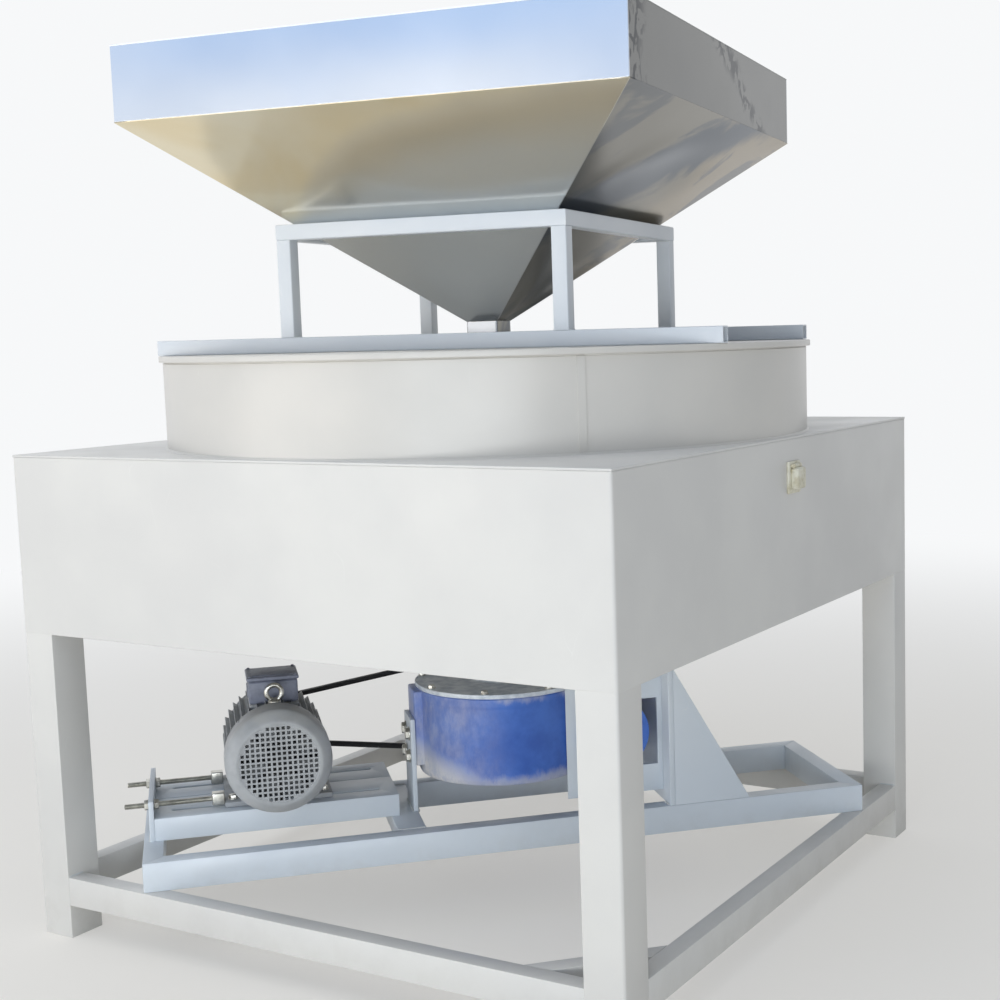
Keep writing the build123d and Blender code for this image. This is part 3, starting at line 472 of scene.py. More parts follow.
def rounded(corners, radius, steps=3, closed=False):
    """Points along a line of corners, each inner corner eased by a short curve."""
    corners = [Vector(c) for c in corners]
    count = len(corners)
    points = []
    for n, corner in enumerate(corners):
        if not closed and n in (0, count - 1):
            points.append(corner)
            continue
        back, ahead = corners[n - 1] - corner, corners[(n + 1) % count] - corner
        first = corner + back * min(radius / back.length, 0.48)
        last = corner + ahead * min(radius / ahead.length, 0.48)
        for step in range(steps + 1):
            t = step / steps
            points.append(first * (1 - t) ** 2 + corner * (2 * t * (1 - t)) + last * t ** 2)
    return points


def bridge(bm, low, high, around):
    """Faces between two rows of corners."""
    width = len(low)
    for n in range(width if around else width - 1):
        m = (n + 1) % width
        bm.faces.new((low[n], low[m], high[m], high[n]))


def skin(bm, rows, around=False, ends=False, closed=False):
    """Faces between rows of points; rows may run around, be capped at both ends, or close on the first."""
    made = [[bm.verts.new(point) for point in row] for row in rows]
    for low, high in list(zip(made, made[1:])) + ([(made[-1], made[0])] if closed else []):
        bridge(bm, low, high, around)
    if ends:
        bm.faces.new(list(reversed(made[0])))
        bm.faces.new(made[-1])
    return made


def turned(bm, outline, steps=96, place=SQUARE, start=0.0, arc=tau, wobble=None, closed=False, ends=False):
    """Turned shape from (radius, height) points about the Z axis of its place."""
    full = abs(arc - tau) < 1e-6
    rows = []
    for radius, height in outline:
        row = []
        for n in range(steps if full else steps + 1):
            angle = start + arc * n / steps
            r = radius + (wobble(angle, height) if wobble else 0)
            row.append(place @ Vector((r * cos(angle), r * sin(angle), height)))
        rows.append(row)
    return skin(bm, rows, around=full, ends=ends, closed=closed)


def knob(bm, corners, ease, fine, steps, place):
    """Solid turned from a line of corners, eased, with flat ends."""
    turned(bm, rounded(corners, ease, fine), steps, place, ends=True)


def hoop(bm, corners, ease, fine, steps, place, wobble=None):
    """Ring turned from a closed line of corners, eased."""
    turned(bm, rounded(corners, ease, fine, True), steps, place, wobble=wobble, closed=True)


def pour(bm, part, place=SQUARE):
    """Adds another shape's faces, moved into place."""
    bmesh.ops.transform(part, matrix=place, verts=part.verts)
    kept = bpy.data.meshes.new("kept")
    part.to_mesh(kept)
    part.free()
    bm.from_mesh(kept)
    bpy.data.meshes.remove(kept)


def ease_edges(bm, edges, offset, steps, clamp=False):
    bmesh.ops.bevel(bm, geom=edges, offset=offset, segments=steps, profile=0.5, affect="EDGES",
                    clamp_overlap=clamp)


def block(bm, low, high, edge, steps=3, place=CHASSIS):
    """Box between two corners with every edge eased."""
    part = bmesh.new()
    bmesh.ops.create_cube(part, size=1)
    for v in part.verts:
        v.co = Vector(a + (b - a) * (c + 0.5) for a, b, c in zip(Vector(low), Vector(high), v.co))
    ease_edges(part, part.edges[:], edge, steps)
    pour(bm, part, place)


def hex_piece(bm, flats, height, place):
    """Hexagon nut or bolt head standing on z = 0, its corners turned off at the top."""
    part = bmesh.new()
    radius = flats / 2 / cos(pi / 6)
    corners = [(radius * cos(n * pi / 3), radius * sin(n * pi / 3)) for n in range(6)]
    skin(part, [[(x, y, z) for x, y in corners] for z in (0, height)], around=True, ends=True)
    top = [e for e in part.edges if all(abs(v.co.z - height) < 1e-7 for v in e.verts)]
    ease_edges(part, top, flats * 0.06, 2)
    pour(bm, part, place)


def washer(bm, inner, outer, thick, place):
    hoop(bm, [(inner, 0), (outer, 0), (outer, thick), (inner, thick)], thick * 0.3, 2, 32, place)


def bolt(bm, flats, head, place):
    """Washer and hexagon head standing on z = 0."""
    thick = flats * 0.12
    washer(bm, flats * 0.28, flats * 0.68, thick, place)
    hex_piece(bm, flats, head, at(0, 0, thick, place))


def screw(bm, radius, shoulder, height, crown, ease, steps, place):
    """Low rounded screw head standing on z = 0."""
    knob(bm, [(FINE_CORE, crown), (shoulder, height), (radius, 0), (radius, -0.001)], ease, 2, steps, place)


def bead(bm, start, end, radius, seed):
    """Weld bead along a line: a round ridge with the ripples of the welding passes."""
    start, end = Vector(start), Vector(end)
    along = (end - start).normalized()
    side = along.cross(Vector((0.31, 0.17, 0.93))).normalized()
    up = along.cross(side)
    length = (end - start).length
    count = max(6, ceil(length / (radius * 0.35)))
    ring = [side * cos(a * tau / 8) + up * sin(a * tau / 8) for a in range(8)]
    rng = Random(seed)
    rows = []
    for n in range(count + 1):
        t = n / count
        swell = 1 + 0.16 * sin(tau * t * length / (radius * 1.1)) + rng.uniform(-0.07, 0.07)
        swell *= min(1, 0.25 + 3.0 * min(t, 1 - t) * length / (radius * 4))
        centre = start + along * (t * length) + side * rng.uniform(-0.1, 0.1) * radius
        rows.append([centre + r * radius * swell for r in ring])
    skin(bm, rows, around=True, ends=True)


def weld(bm, points, radius, seed, place=CHASSIS):
    """Weld beads along a line of points."""
    for n, (a, b) in enumerate(zip(points, points[1:])):
        bead(bm, place @ Vector(a), place @ Vector(b), radius, seed + n)


def face_outward(bm):
    """Turns the faces of each shell outward: one whose volume comes out negative is turned over."""
    bmesh.ops.recalc_face_normals(bm, faces=bm.faces)
    waiting = set(bm.faces)
    while waiting:
        shell = [waiting.pop()]
        for face in shell:
            for edge in face.edges:
                beside = waiting.intersection(edge.link_faces)
                waiting -= beside
                shell.extend(beside)
        if sum(face.calc_center_median().dot(face.normal) * face.calc_area() for face in shell) < 0:
            bmesh.ops.reverse_faces(bm, faces=shell)


def piece(name, bm, finish, body, nodes=(), sharp=32):
    """Finished piece: smooth where its faces run on, riding on its body, standing for the nodes named."""
    bmesh.ops.dissolve_degenerate(bm, dist=1e-6, edges=bm.edges)
    face_outward(bm)
    mesh = bpy.data.meshes.new(name)
    bm.to_mesh(mesh)
    bm.free()
    mesh.polygons.foreach_set("use_smooth", [True] * len(mesh.polygons))
    mesh.set_sharp_from_angle(angle=radians(sharp))
    mesh.materials.append(finish)
    made = bpy.data.objects.new(name, mesh)
    bpy.context.scene.collection.objects.link(made)
    if body:
        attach(made, body)
    if nodes:
        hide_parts(*nodes)
    return made


def dress(node, bm, finish, sharp=32):
    """Finished piece that stands for one node, on that node's body."""
    return piece(f"{node}_dressed", bm, finish, body_of(node), [node], sharp)


def eased(node, finish, edge, steps=2):
    """The node's own shape with its edges eased, as tube and plate come from the saw and the paint shop."""
    bm = bmesh.new()
    source = frame["nodes"][node].data
    made = [bm.verts.new(v.co) for v in source.vertices]
    for polygon in source.polygons:
        corners = [made[i] for i in polygon.vertices]
        if len(set(corners)) > 2:
            bm.faces.new(corners)
    bmesh.ops.remove_doubles(bm, verts=bm.verts, dist=2e-5)
    bmesh.ops.dissolve_limit(bm, angle_limit=radians(1), verts=bm.verts, edges=bm.edges)
    bmesh.ops.recalc_face_normals(bm, faces=bm.faces)
    turns = [e for e in bm.edges if len(e.link_faces) == 2 and e.calc_face_angle(0) > radians(32)]
    ease_edges(bm, turns, edge, steps, True)
    bmesh.ops.remove_doubles(bm, verts=bm.verts, dist=2e-6)
    return dress(node, bm, finish)


# Table
apron_low, apron_high = box_of("apron_front", SQUARE)
rail_low, rail_high = box_of("bottom_rail_front", SQUARE)
half = box_of("deck_plate", SQUARE)[1].x
leg_inner = apron_high.x


def chute_window():
    """Half width and heights of the flour chute's opening, from the back apron's own corners."""
    inside = [v.co for v in frame["nodes"]["apron_back"].data.vertices if abs(v.co.x) < leg_inner * 0.5]
    heights = [p.z for p in inside if apron_low.z + 0.001 < p.z < apron_high.z - 0.001]
    return max(p.x for p in inside), [min(heights), max(heights)]


def apron(side, turns):
    """Sheet apron folded round the leg edges and filled flush; the back one has the flour chute's window."""
    bm = bmesh.new()
    axes = quarter(turns)
    proud, thick, fold, lip = 0.0004, 0.003, 0.007, 0.0009
    face = -half - proud
    wide, heights = chute_window() if side == "back" else (0, [])
    bend = [Vector((half + proud - fold + fold * sin(a), face + fold - fold * cos(a)))
            for a in (radians(45), radians(30), radians(15), 0)]
    jambs = [Vector((x, face)) for x in (wide, -wide) if wide]
    outer = bend + jambs + [Vector((-p.x, p.y)) for p in reversed(bend)]
    inner = [Vector((p.x, p.y + thick)) for p in reversed(outer)]
    rows = []
    for z, inset in [(apron_low.z, lip)] + [(z, 0) for z in [apron_low.z + lip] + heights + [apron_high.z]]:
        row = [(p.x, p.y + inset, z) for p in outer] + [(p.x, p.y - inset, z) for p in inner]
        rows.append([axes @ Vector(p) for p in row])
    made = skin(bm, rows, around=True, ends=True)
    if wide:
        right, left = len(bend), len(bend) + 1
        low, high = made[2], made[3]
        front = [low[right], low[left], high[left], high[right]]
        rear = [low[-1 - right], low[-1 - left], high[-1 - left], high[-1 - right]]
        for corners in (front, rear):
            bm.faces.remove(bm.faces.get(corners))
        for n in range(4):
            bm.faces.new((front[n - 1], front[n], rear[n], rear[n - 1]))
    dress(f"apron_{side}", bm, TABLE_PAINT)


for turns, side in enumerate(("front", "right", "back", "left")):
    apron(side, turns)
    eased(f"bottom_rail_{side}", TABLE_PAINT, 0.003)
for corner in ("front_left", "front_right", "back_left", "back_right"):
    eased(f"leg_{corner}", TABLE_PAINT, 0.003, 3)
eased("deck_plate", TABLE_PAINT, 0.0012)
for node in ("top_rails", "deck_beams", "corner_braces"):
    eased(node, TABLE_PAINT, 0.003)

bm = bmesh.new()
for n in range(4):
    for side in (-1, 1):
        x, near, far = side * leg_inner, -half + 0.003, -half + 0.038
        points = [(x, near, rail_low.z), (x, near, rail_high.z), (x, far, rail_high.z)]
        weld(bm, points, 0.0022, 200 + 9 * n + side, quarter(n))
piece("table_welds", bm, PAINTED_WELD, "frame")

# Drum: rolled sheet with a vertical seam, sealed to the deck
drum_low, drum_high = box_of("drum_shell", SQUARE)
drum_radius = drum_high.x
drum_inner = drum_radius - 0.004
ring_steps = 240


def rolled(angle, height):
    """Slight unevenness that rolling leaves in a large thin ring."""
    return 0.0007 * sin(5 * angle + 0.6) + 0.0005 * sin(11 * angle) + 0.0003 * sin(23 * angle + 2)


bm = bmesh.new()
wall = [(drum_radius, drum_low.z + (drum_high.z - drum_low.z) * n / 8) for n in range(9)]
wall = [(drum_inner, drum_low.z)] + wall + [(drum_inner, drum_high.z)]
turned(bm, wall, ring_steps, wobble=rolled, closed=True)
seal = [(-0.001, 0.0045), (0.0016, 0.0030), (0.0038, 0.0008), (0.0042, 0), (-0.001, 0)]
seal = [(drum_radius + out, drum_low.z + up) for out, up in seal]
turned(bm, seal, ring_steps, wobble=lambda a, h: rolled(a, h) + 0.0003 * sin(61 * a), closed=True)
seam_in, seam_out, seam_foot = drum_radius - 0.001, drum_radius + 0.0016, drum_low.z + 0.006
seam = [(seam_in, seam_foot), (seam_out, seam_foot), (seam_out, drum_high.z), (seam_in, drum_high.z)]
seam = rounded(seam, 0.0008, 2)
made = turned(bm, seam, 6, start=radians(317), arc=radians(1.3), wobble=rolled, closed=True)
bm.faces.new([row[0] for row in made])
bm.faces.new([row[-1] for row in reversed(made)])
dress("drum_shell", bm, DRUM_PAINT)

# Lid: flat plate with a lip that sits on the drum, a shadow gap under the lip, a square hole for the spout
lid_low, lid_high = box_of("lid", SQUARE)
lip_radius = lid_high.y
lip_under = lid_low.z + 0.0026
plate_under = lid_high.z - 0.004
seat_radius = drum_radius - 0.0015
hole_half = 0.035


def square_ring(bm, height):
    """Corners round the spout hole that face the corners of a turned ring."""
    corners = []
    for n in range(ring_steps):
        angle = tau * n / ring_steps - radians(HOPPER_TURN)
        reach = hole_half / max(abs(cos(angle)), abs(sin(angle)))
        corners.append(bm.verts.new(HOPPER @ Vector((reach * cos(angle), reach * sin(angle), height))))
    return corners


bm = bmesh.new()
outer = rounded([(drum_inner, lid_low.z), (seat_radius, lid_low.z), (seat_radius, lip_under),
                 (lip_radius, lip_under), (lip_radius, lid_high.z), (0.62, lid_high.z)], 0.0026, 4)
flat = [(r, lid_high.z) for r in (0.5, 0.35, 0.22, 0.12)]
under = [(r, plate_under) for r in (0.12, 0.35, drum_inner)]
top_rows = turned(bm, outer + [Vector(p) for p in flat], ring_steps, wobble=lambda a, h: 0.0004 * sin(7 * a))
under_rows = turned(bm, under, ring_steps)
hole_top = square_ring(bm, lid_high.z)
hole_under = square_ring(bm, plate_under)
for first, second in ((top_rows[-1], hole_top), (hole_top, hole_under), (hole_under, under_rows[0]),
                      (under_rows[-1], top_rows[0])):
    bridge(bm, first, second, True)
dress("lid", bm, DRUM_PAINT)

# Hopper stand: two open base bars across the lid, square posts and a mitred ring, welded at each joint
stand_low, stand_high = box_of("hopper_stand", HOPPER)
stand_half = stand_high.y
stand_tube = 0.032
stand_inner = stand_half - stand_tube
bar_top = stand_low.z + stand_tube
ring_bottom = stand_high.z - stand_tube


def rail(bm, length, place, mitre=0.0, wall=0.0):
    """Square tube along X with eased long edges; its ends are cut at a slant, or open to its wall."""
    rings = []
    for low, high in ((0, stand_tube), (wall, stand_tube - wall)):
        rings.append(rounded([(low, low), (high, low), (high, high), (low, high)], 0.0035 - low, 3, True))
    runs = [(rings[0], 1), (rings[0], -1)] + ([(rings[1], -1), (rings[1], 1)] if wall else [])
    rows = [[place @ Vector((end * (length / 2 - mitre * y), y, z)) for y, z in ring] for ring, end in runs]
    skin(bm, rows, around=True, ends=not wall, closed=bool(wall))


bm = bmesh.new()
welds = bmesh.new()
for n in range(4):
    turn = quarter(n, HOPPER)
    rail(bm, 2 * stand_half, at(0, -stand_half, ring_bottom, turn), mitre=1.0)
    if n % 2 == 0:
        rail(bm, 2 * stand_high.x, at(0, -stand_half, stand_low.z, turn), wall=0.0025)
    post = along_x(stand_half - stand_tube / 2, -stand_half, (bar_top + ring_bottom) / 2, turn)
    rail(bm, ring_bottom - bar_top, at(0, 0, -stand_tube / 2, post))
    for m, x in enumerate((stand_inner, stand_half)):
        foot = [(x, -stand_half + 0.002, bar_top), (x, -stand_inner - 0.002, bar_top)]
        foot = foot if n % 2 == 0 else [(-y, -x, z) for x, y, z in foot]
        weld(welds, foot, 0.0024, 10 + 7 * n + m, turn)
    head = [(stand_inner, -stand_half + 0.001, ring_bottom), (stand_inner, -stand_inner, ring_bottom)]
    weld(welds, head, 0.0018, 50 + n, turn)
dress("hopper_stand", bm, STAND_PAINT)
piece("hopper_stand_welds", welds, PAINTED_WELD, "frame")

# Hopper: bright collar with a hemmed edge, tapering body with a soft fold and dents, short spout
collar_low, collar_high = box_of("hopper_collar", HOPPER)
body_low, body_high = box_of("hopper_body", HOPPER)
hopper_half = collar_high.x
spout_half = 0.034
taper = (hopper_half - stand_inner) / (body_high.z - stand_high.z)
spout_top = body_high.z - (hopper_half - spout_half) / taper
collar_tall = collar_high.z - collar_low.z
body_tall = body_high.z - spout_top
sheet_edge = 0.0005
across = 28


def dents(side, s, height):
    """Waves in a panel, across its width and height."""
    wave = sin(5.1 * s + 9.0 * height + 1.7 * side) + 0.7 * sin(9.5 * s - 14.0 * height + 2.4 * side)
    return wave + 0.5 * sin(15.0 * s + 21.0 * height + 0.9 * side)


def square_row(half_side, height, depth, lean, crown=0.0, fold=0.0):
    """One level of a four-sided sheet, crowned, dented and folded; lean is its outward normal."""
    row = []
    for side in range(4):
        turn = quarter(side, HOPPER)
        for n in range(across):
            s = n / across
            x = half_side * (2 * s - 1)
            over = height - fold_height(x + 0.03 * side)
            push = crown + depth * dents(side, s, height) + fold * exp(-(over / 0.035) ** 2)
            push *= sin(pi * s) ** 0.8
            row.append(turn @ Vector((x, -half_side - push * lean[0], height + push * lean[1])))
    return row


def sheet(node, rows, finish, sharp):
    """Sheet-metal skin given its thickness inward."""
    bm = bmesh.new()
    skin(bm, rows, around=True)
    thicken = dress(node, bm, finish, sharp).modifiers.new("sheet", "SOLIDIFY")
    thicken.thickness = 0.002
    thicken.offset = -1


rows = []
levels = 12
near_edge = sheet_edge / collar_tall * levels
for n in [0, near_edge] + list(range(1, levels)) + [levels - near_edge, levels]:
    bulge = sin(pi * n / levels)
    z = collar_low.z + collar_tall * n / levels
    rows.append(square_row(hopper_half, z, 0.0002 * bulge, (1, 0), 0.0010 * bulge))
sheet("hopper_collar", rows, COLLAR_SHEET, 32)

rows = [square_row(spout_half, z, 0, (1, 0)) for z in (body_low.z, (body_low.z + spout_top) / 2)]
slope = Vector((1, -taper)).normalized()
levels = 44
near_edge = sheet_edge / body_tall * levels
for n in list(range(levels)) + [levels - near_edge, levels]:
    z = spout_top + body_tall * n / levels
    from_ring = abs(z - (stand_high.z - stand_tube / 2)) / 0.09
    away = min(1, max(0, from_ring - 0.25))
    free = away ** 2 * (3 - 2 * away) * min(1, (levels - n) / 6) * min(1, n / 8)
    fold = 0.0040 * free if z > stand_high.z else 0
    rows.append(square_row(spout_half + (z - spout_top) * taper, z, 0.0016 * free, slope, 0, fold))
sheet("hopper_body", rows, TAPER_SHEET, 24)

bm = bmesh.new()
hem = 0.0016
reach = hopper_half - hem * 0.6
ring = [(hem * cos(a * tau / 10), hem * sin(a * tau / 10)) for a in range(10)]
rows = []
for n in range(4):
    turn = quarter(n, HOPPER)
    rows.append([turn @ Vector((reach - y, y - reach, collar_high.z - hem + z)) for y, z in ring])
skin(bm, rows, around=True, closed=True)
piece("hopper_hem", bm, COLLAR_SHEET, "frame")

bm = bmesh.new()
rng = Random(42)
for n in range(4):
    turn = quarter(n, HOPPER)
    for share in (0.02, 0.07, 0.20, 0.31, 0.58, 0.82):
        low = spout_top + body_tall * (share + rng.uniform(0, 0.05))
        heights = (low, low + rng.uniform(0.008, 0.022))
        points = [(spout_half + (h - spout_top) * taper - 0.0006, h) for h in heights]
        ends = [turn @ Vector((r, -r, h)) for r, h in points]
        bead(bm, *ends, rng.uniform(0.0014, 0.0021), rng.randint(1, 999))
    weld(bm, [(x, -spout_half, spout_top) for x in (-spout_half, spout_half)], 0.0024, 70 + n, turn)
piece("hopper_welds", bm, WELD, "frame")

# Chassis: rectangular tube, mitred at its corners, with the cross-bar and the welds that hold it
for edge, nodes in ((0.0030, ("chassis_rail_near", "chassis_rail_far", "chassis_ends", "chassis_crossbar")),
                    (0.0016, ("motor_rail_near", "motor_rail_far", "tension_plate")),
                    (0.0014, ("left_upright", "right_upright", "gussets", "saddle_cheeks"))):
    for node in nodes:
        eased(node, CHASSIS_SKYLIT_PAINT, edge)

cross_low, cross_high = box_of("chassis_crossbar")
gusset_low, gusset_high = box_of("gussets")
plate_low, plate_high = box_of("right_upright")
upright_low, upright_high = box_of("left_upright")
pull_low, pull_high = box_of("tension_plate")
chassis_top = box_of("chassis_rail_near")[1].z
gusset_half = 0.0125
bm = bmesh.new()
for n, y in enumerate((gusset_low.y + gusset_half, gusset_high.y - gusset_half)):
    flat = [(gusset_low.x + 0.004, y, chassis_top), (gusset_high.x - 0.006, y, chassis_top)]
    weld(bm, flat, 0.0032, 100 + n)
    weld(bm, [(gusset_low.x, y, z) for z in (chassis_top + 0.006, gusset_high.z - 0.02)], 0.0030, 110 + n)
for n, x in enumerate((plate_low.x, plate_high.x)):
    weld(bm, [(x, plate_low.y + y, chassis_top) for y in (0.004, 0.038)], 0.0032, 120 + n)
    weld(bm, [(x, plate_high.y - y, chassis_top) for y in (0.038, 0.004)], 0.0032, 130 + n)
for n, x in enumerate((upright_low.x, upright_high.x)):
    weld(bm, [(x, y, chassis_top) for y in (upright_low.y, upright_high.y)], 0.0034, 140 + n)
for m, y in enumerate((cross_low.y, cross_high.y)):
    weld(bm, [(x, y, cross_high.z) for x in (cross_low.x, cross_high.x)], 0.0024, 160 + m)
    for n, x in enumerate((cross_low.x, cross_high.x)):
        weld(bm, [(x, y, z) for z in (cross_low.z, cross_high.z)], 0.0026, 150 + 2 * n + m)
weld(bm, [(pull_low.x, y, chassis_top) for y in (pull_low.y, pull_high.y)], 0.0028, 170)
piece("chassis_welds", bm, PAINTED_WELD, "frame")

# Motor: finned barrel, feet, cowl with a square-mesh grille, terminal box and lifting eye
motor_low = box_of("motor_frame")[0]
cowl_low, cowl_high = box_of("fan_cowl")
shield_low, shield_high = box_of("drive_end_shield")
box_low, box_high = box_of("terminal_box")
eye_low, eye_high = box_of("lifting_eye")
small_low, small_high = box_of("motor_pulley")
axle_x = (small_low.x + small_high.x) / 2
axle_z = (small_low.z + small_high.z) / 2
motor_axis = along_y(axle_x, 0, axle_z)
barrel = 0.096
fin_tip = 0.1082
foot_low = motor_low.z
foot_top = foot_low + 0.012
foot_front, foot_rear = -0.040, 0.185
foot_inner, foot_outer, foot_web = 0.062, 0.113, 0.080
eye_y = (eye_low.y + eye_high.y) / 2


def spoke(angle, y=0):
    """Place on the motor's axle whose X axis points outward at an angle in degrees."""
    return at(axle_x, y, axle_z) @ Matrix.Rotation(-radians(angle), 4, "Y")


def box_block(bm, inset, low, high, edge, steps=3):
    """Block on the plan of the terminal box, drawn in by an inset."""
    near = (box_low.x + inset, box_low.y + inset, low)
    block(bm, near, (box_high.x - inset, box_high.y - inset, high), edge, steps)


bm = bmesh.new()
knob(bm, [(CORE, motor_low.y), (barrel, motor_low.y), (barrel, shield_low.y), (CORE, shield_low.y)],
     0.003, 3, 120, motor_axis)
fin = [(barrel - 0.003, -0.0017), (fin_tip - 0.0008, -0.0011), (fin_tip, -0.0004)]
fin += [(r, -t) for r, t in reversed(fin)]
for angle in range(-30, 211, 10):
    ends = [spoke(angle, y) for y in (motor_low.y, shield_low.y - 0.004)]
    skin(bm, [[end @ Vector((r, 0, t)) for r, t in fin] for end in ends], around=True, ends=True)
for side in (-1, 1):
    for reach, rear, low, high in ((foot_outer, foot_rear, foot_low, foot_top),
                                   (foot_web, shield_low.y, foot_low + 0.004, axle_z - 0.05)):
        left, right = sorted((axle_x + side * foot_inner, axle_x + side * reach))
        block(bm, (left, foot_front, low), (right, rear, high), 0.003)
box_block(bm, 0.003, axle_z + 0.06, box_low.z, 0.006)
eye_seat = eye_low.z - axle_z
knob(bm, [(CORE, 0.09), (0.015, 0.09), (0.014, eye_seat), (CORE, eye_seat)], 0.001, 2, 32,
     at(axle_x, eye_y, axle_z))
dress("motor_frame", bm, MOTOR_PAINT)

bm = bmesh.new()
nose, rim = shield_high.y, shield_low.y
shield = [(0.020, nose - 0.006), (0.030, nose), (0.052, nose), (0.056, nose - 0.02)]
shield += [(0.090, rim + 0.016), (0.0975, rim + 0.014), (0.0975, rim), (0.02, rim)]
turned(bm, rounded(shield, 0.004, 3), 120, motor_axis, closed=True)
for n in range(4):
    lean = radians(45 + 90 * n)
    spot = along_y(axle_x + 0.086 * cos(lean), rim + 0.0155, axle_z + 0.086 * sin(lean))
    bolt(bm, 0.010, 0.0055, spot)
dress("drive_end_shield", bm, MOTOR_PAINT)

bm = bmesh.new()
face = cowl_low.y
cowl_radius = (cowl_high.x - cowl_low.x) / 2
cowl_sheet = 0.0022
front_points = 9
outside = rounded([(0.083, face - 0.0002), (0.0905, face - 0.0008), (cowl_radius - 0.001, face + 0.019),
                   (cowl_radius - 0.0005, face + 0.034), (cowl_radius - 0.0005, cowl_high.y)], 0.011, 6)
inside = [Vector((p.x - cowl_sheet, p.y + (cowl_sheet if n < front_points else 0)))
          for n, p in enumerate(outside)]
turned(bm, outside + list(reversed(inside)), 144, motor_axis, closed=True)

# Grille: a plate cut into strips both ways, without the squares that lie open
pitch, opening = 0.0107, 0.0068
open_radius, plate_radius = 0.0835, 0.0895
count = int(0.09 / pitch) + 1
lines = sorted(k * pitch + side * opening / 2 for k in range(-count, count + 1) for side in (-1, 1))
spots = {}
plate = bmesh.new()


def mesh_spot(i, j):
    if (i, j) not in spots:
        spots[i, j] = plate.verts.new((lines[i], lines[j], 0))
    return spots[i, j]


for i in range(len(lines) - 1):
    for j in range(len(lines) - 1):
        far = hypot(max(abs(lines[i]), abs(lines[i + 1])), max(abs(lines[j]), abs(lines[j + 1])))
        is_hole = i % 2 == 0 and j % 2 == 0
        if far < plate_radius and not (is_hole and far < open_radius):
            plate.faces.new([mesh_spot(*spot) for spot in ((i, j), (i + 1, j), (i + 1, j + 1), (i, j + 1))])
deep = bmesh.ops.extrude_face_region(plate, geom=plate.faces[:])
moved = [g for g in deep["geom"] if isinstance(g, bmesh.types.BMVert)]
bmesh.ops.translate(plate, vec=(0, 0, 0.0018), verts=moved)
pour(bm, plate, along_y(axle_x, face + 0.0004, axle_z))
for n in range(4):
    spot = along_x(cowl_radius - 0.001, 0, 0, spoke(45 + 90 * n, cowl_high.y - 0.012))
    screw(bm, 0.0048, 0.0042, 0.0020, 0.0024, 0.001, 20, spot)
dress("fan_cowl", bm, COWL_PAINT)

bm = bmesh.new()
box_block(bm, 0.003, box_low.z, box_high.z - 0.009, 0.005)
box_block(bm, 0.0, box_high.z - 0.0085, box_high.z, 0.0035)
box_block(bm, 0.012, box_high.z - 0.001, box_high.z + 0.0016, 0.0014, 2)
for x in (box_low.x + 0.0075, box_high.x - 0.0075):
    for y in (box_low.y + 0.0075, box_high.y - 0.0075):
        screw(bm, 0.0036, 0.0030, 0.0025, 0.0028, 0.0008, 18, at(x, y, box_high.z))
for n in range(3):
    y = box_low.y + 0.030 + n * 0.022
    low, high = box_low.z + 0.010, box_low.z + 0.032
    block(bm, (box_low.x + 0.001, y, low), (box_low.x + 0.0045, y + 0.010, high), 0.0012, 2)
dress("terminal_box", bm, BOX_GREY)

bm = bmesh.new()
eye_centre = Vector((axle_x, eye_y, eye_high.z - 0.021))
eye_radius, eye_wire = 0.016, 0.005
rows = []
for n in range(40):
    out = Vector((cos(tau * n / 40), 0, sin(tau * n / 40)))
    section = [out * cos(b * tau / 14) + Vector((0, sin(b * tau / 14), 0)) for b in range(14)]
    rows.append([CHASSIS @ (eye_centre + out * eye_radius + p * eye_wire) for p in section])
skin(bm, rows, around=True, closed=True)
knob(bm, [(CORE, 0), (0.0140, 0), (0.0140, 0.004), (0.0085, 0.0075), (CORE, 0.009)], 0.0015, 3, 36,
     at(axle_x, eye_y, eye_low.z))
dress("lifting_eye", bm, ZINC)

bolt_low, bolt_high = box_of("foot_bolts")
bm = bmesh.new()
for x in (bolt_low.x + 0.0095, bolt_high.x - 0.0095):
    for y in (bolt_low.y + 0.0085, bolt_high.y - 0.0085):
        bolt(bm, 0.017, 0.0065, at(x, y, foot_top))
        turned(bm, [(0.0045, -0.017), (0.0045, 0.001)], 18, at(x, y, foot_top), ends=True)
dress("foot_bolts", bm, ZINC)

# Belt tension: threaded rods through the end plate, their nuts, and the lugs on the motor feet
rod_low, rod_high = box_of("tension_rods")
nut_low, nut_high = box_of("rod_nuts")
rod_z = (nut_low.z + nut_high.z) / 2
lug_half, lug_tall = 0.012, 0.013
rod_lines = (rod_low.y + lug_half, rod_high.y - lug_half)
lug_start = rod_high.x - 0.026
rod_length = lug_start - rod_low.x + 0.004
thread_turns = int(rod_length / 0.0019)
bm = bmesh.new()
for y in rod_lines:
    outline = [(FINE_CORE, 0), (0.0044, 0.0004)]
    for n in range(thread_turns):
        outline += [(0.0050, 0.001 + n * rod_length / thread_turns)]
        outline += [(0.0060, 0.001 + (n + 0.5) * rod_length / thread_turns)]
    outline = [(r, min(z, rod_length)) for r, z in outline] + [(FINE_CORE, rod_length)]
    turned(bm, outline, 20, along_x(rod_low.x, y, rod_z), ends=True)
    near = (lug_start, y - lug_half, rod_z - lug_tall)
    block(bm, near, (rod_high.x, y + lug_half, rod_z + lug_tall), 0.0022)
dress("tension_rods", bm, ZINC)
bm = bmesh.new()
for y in rod_lines:
    for x, turn in ((pull_low.x, pi), (pull_high.x, 0)):
        spot = along_x(x, y, rod_z) @ Matrix.Rotation(turn, 4, "X")
        washer(bm, 0.0064, 0.0120, 0.0020, spot)
        hex_piece(bm, 0.019, 0.008, at(0, 0, 0.0020, spot))
dress("rod_nuts", bm, ZINC)

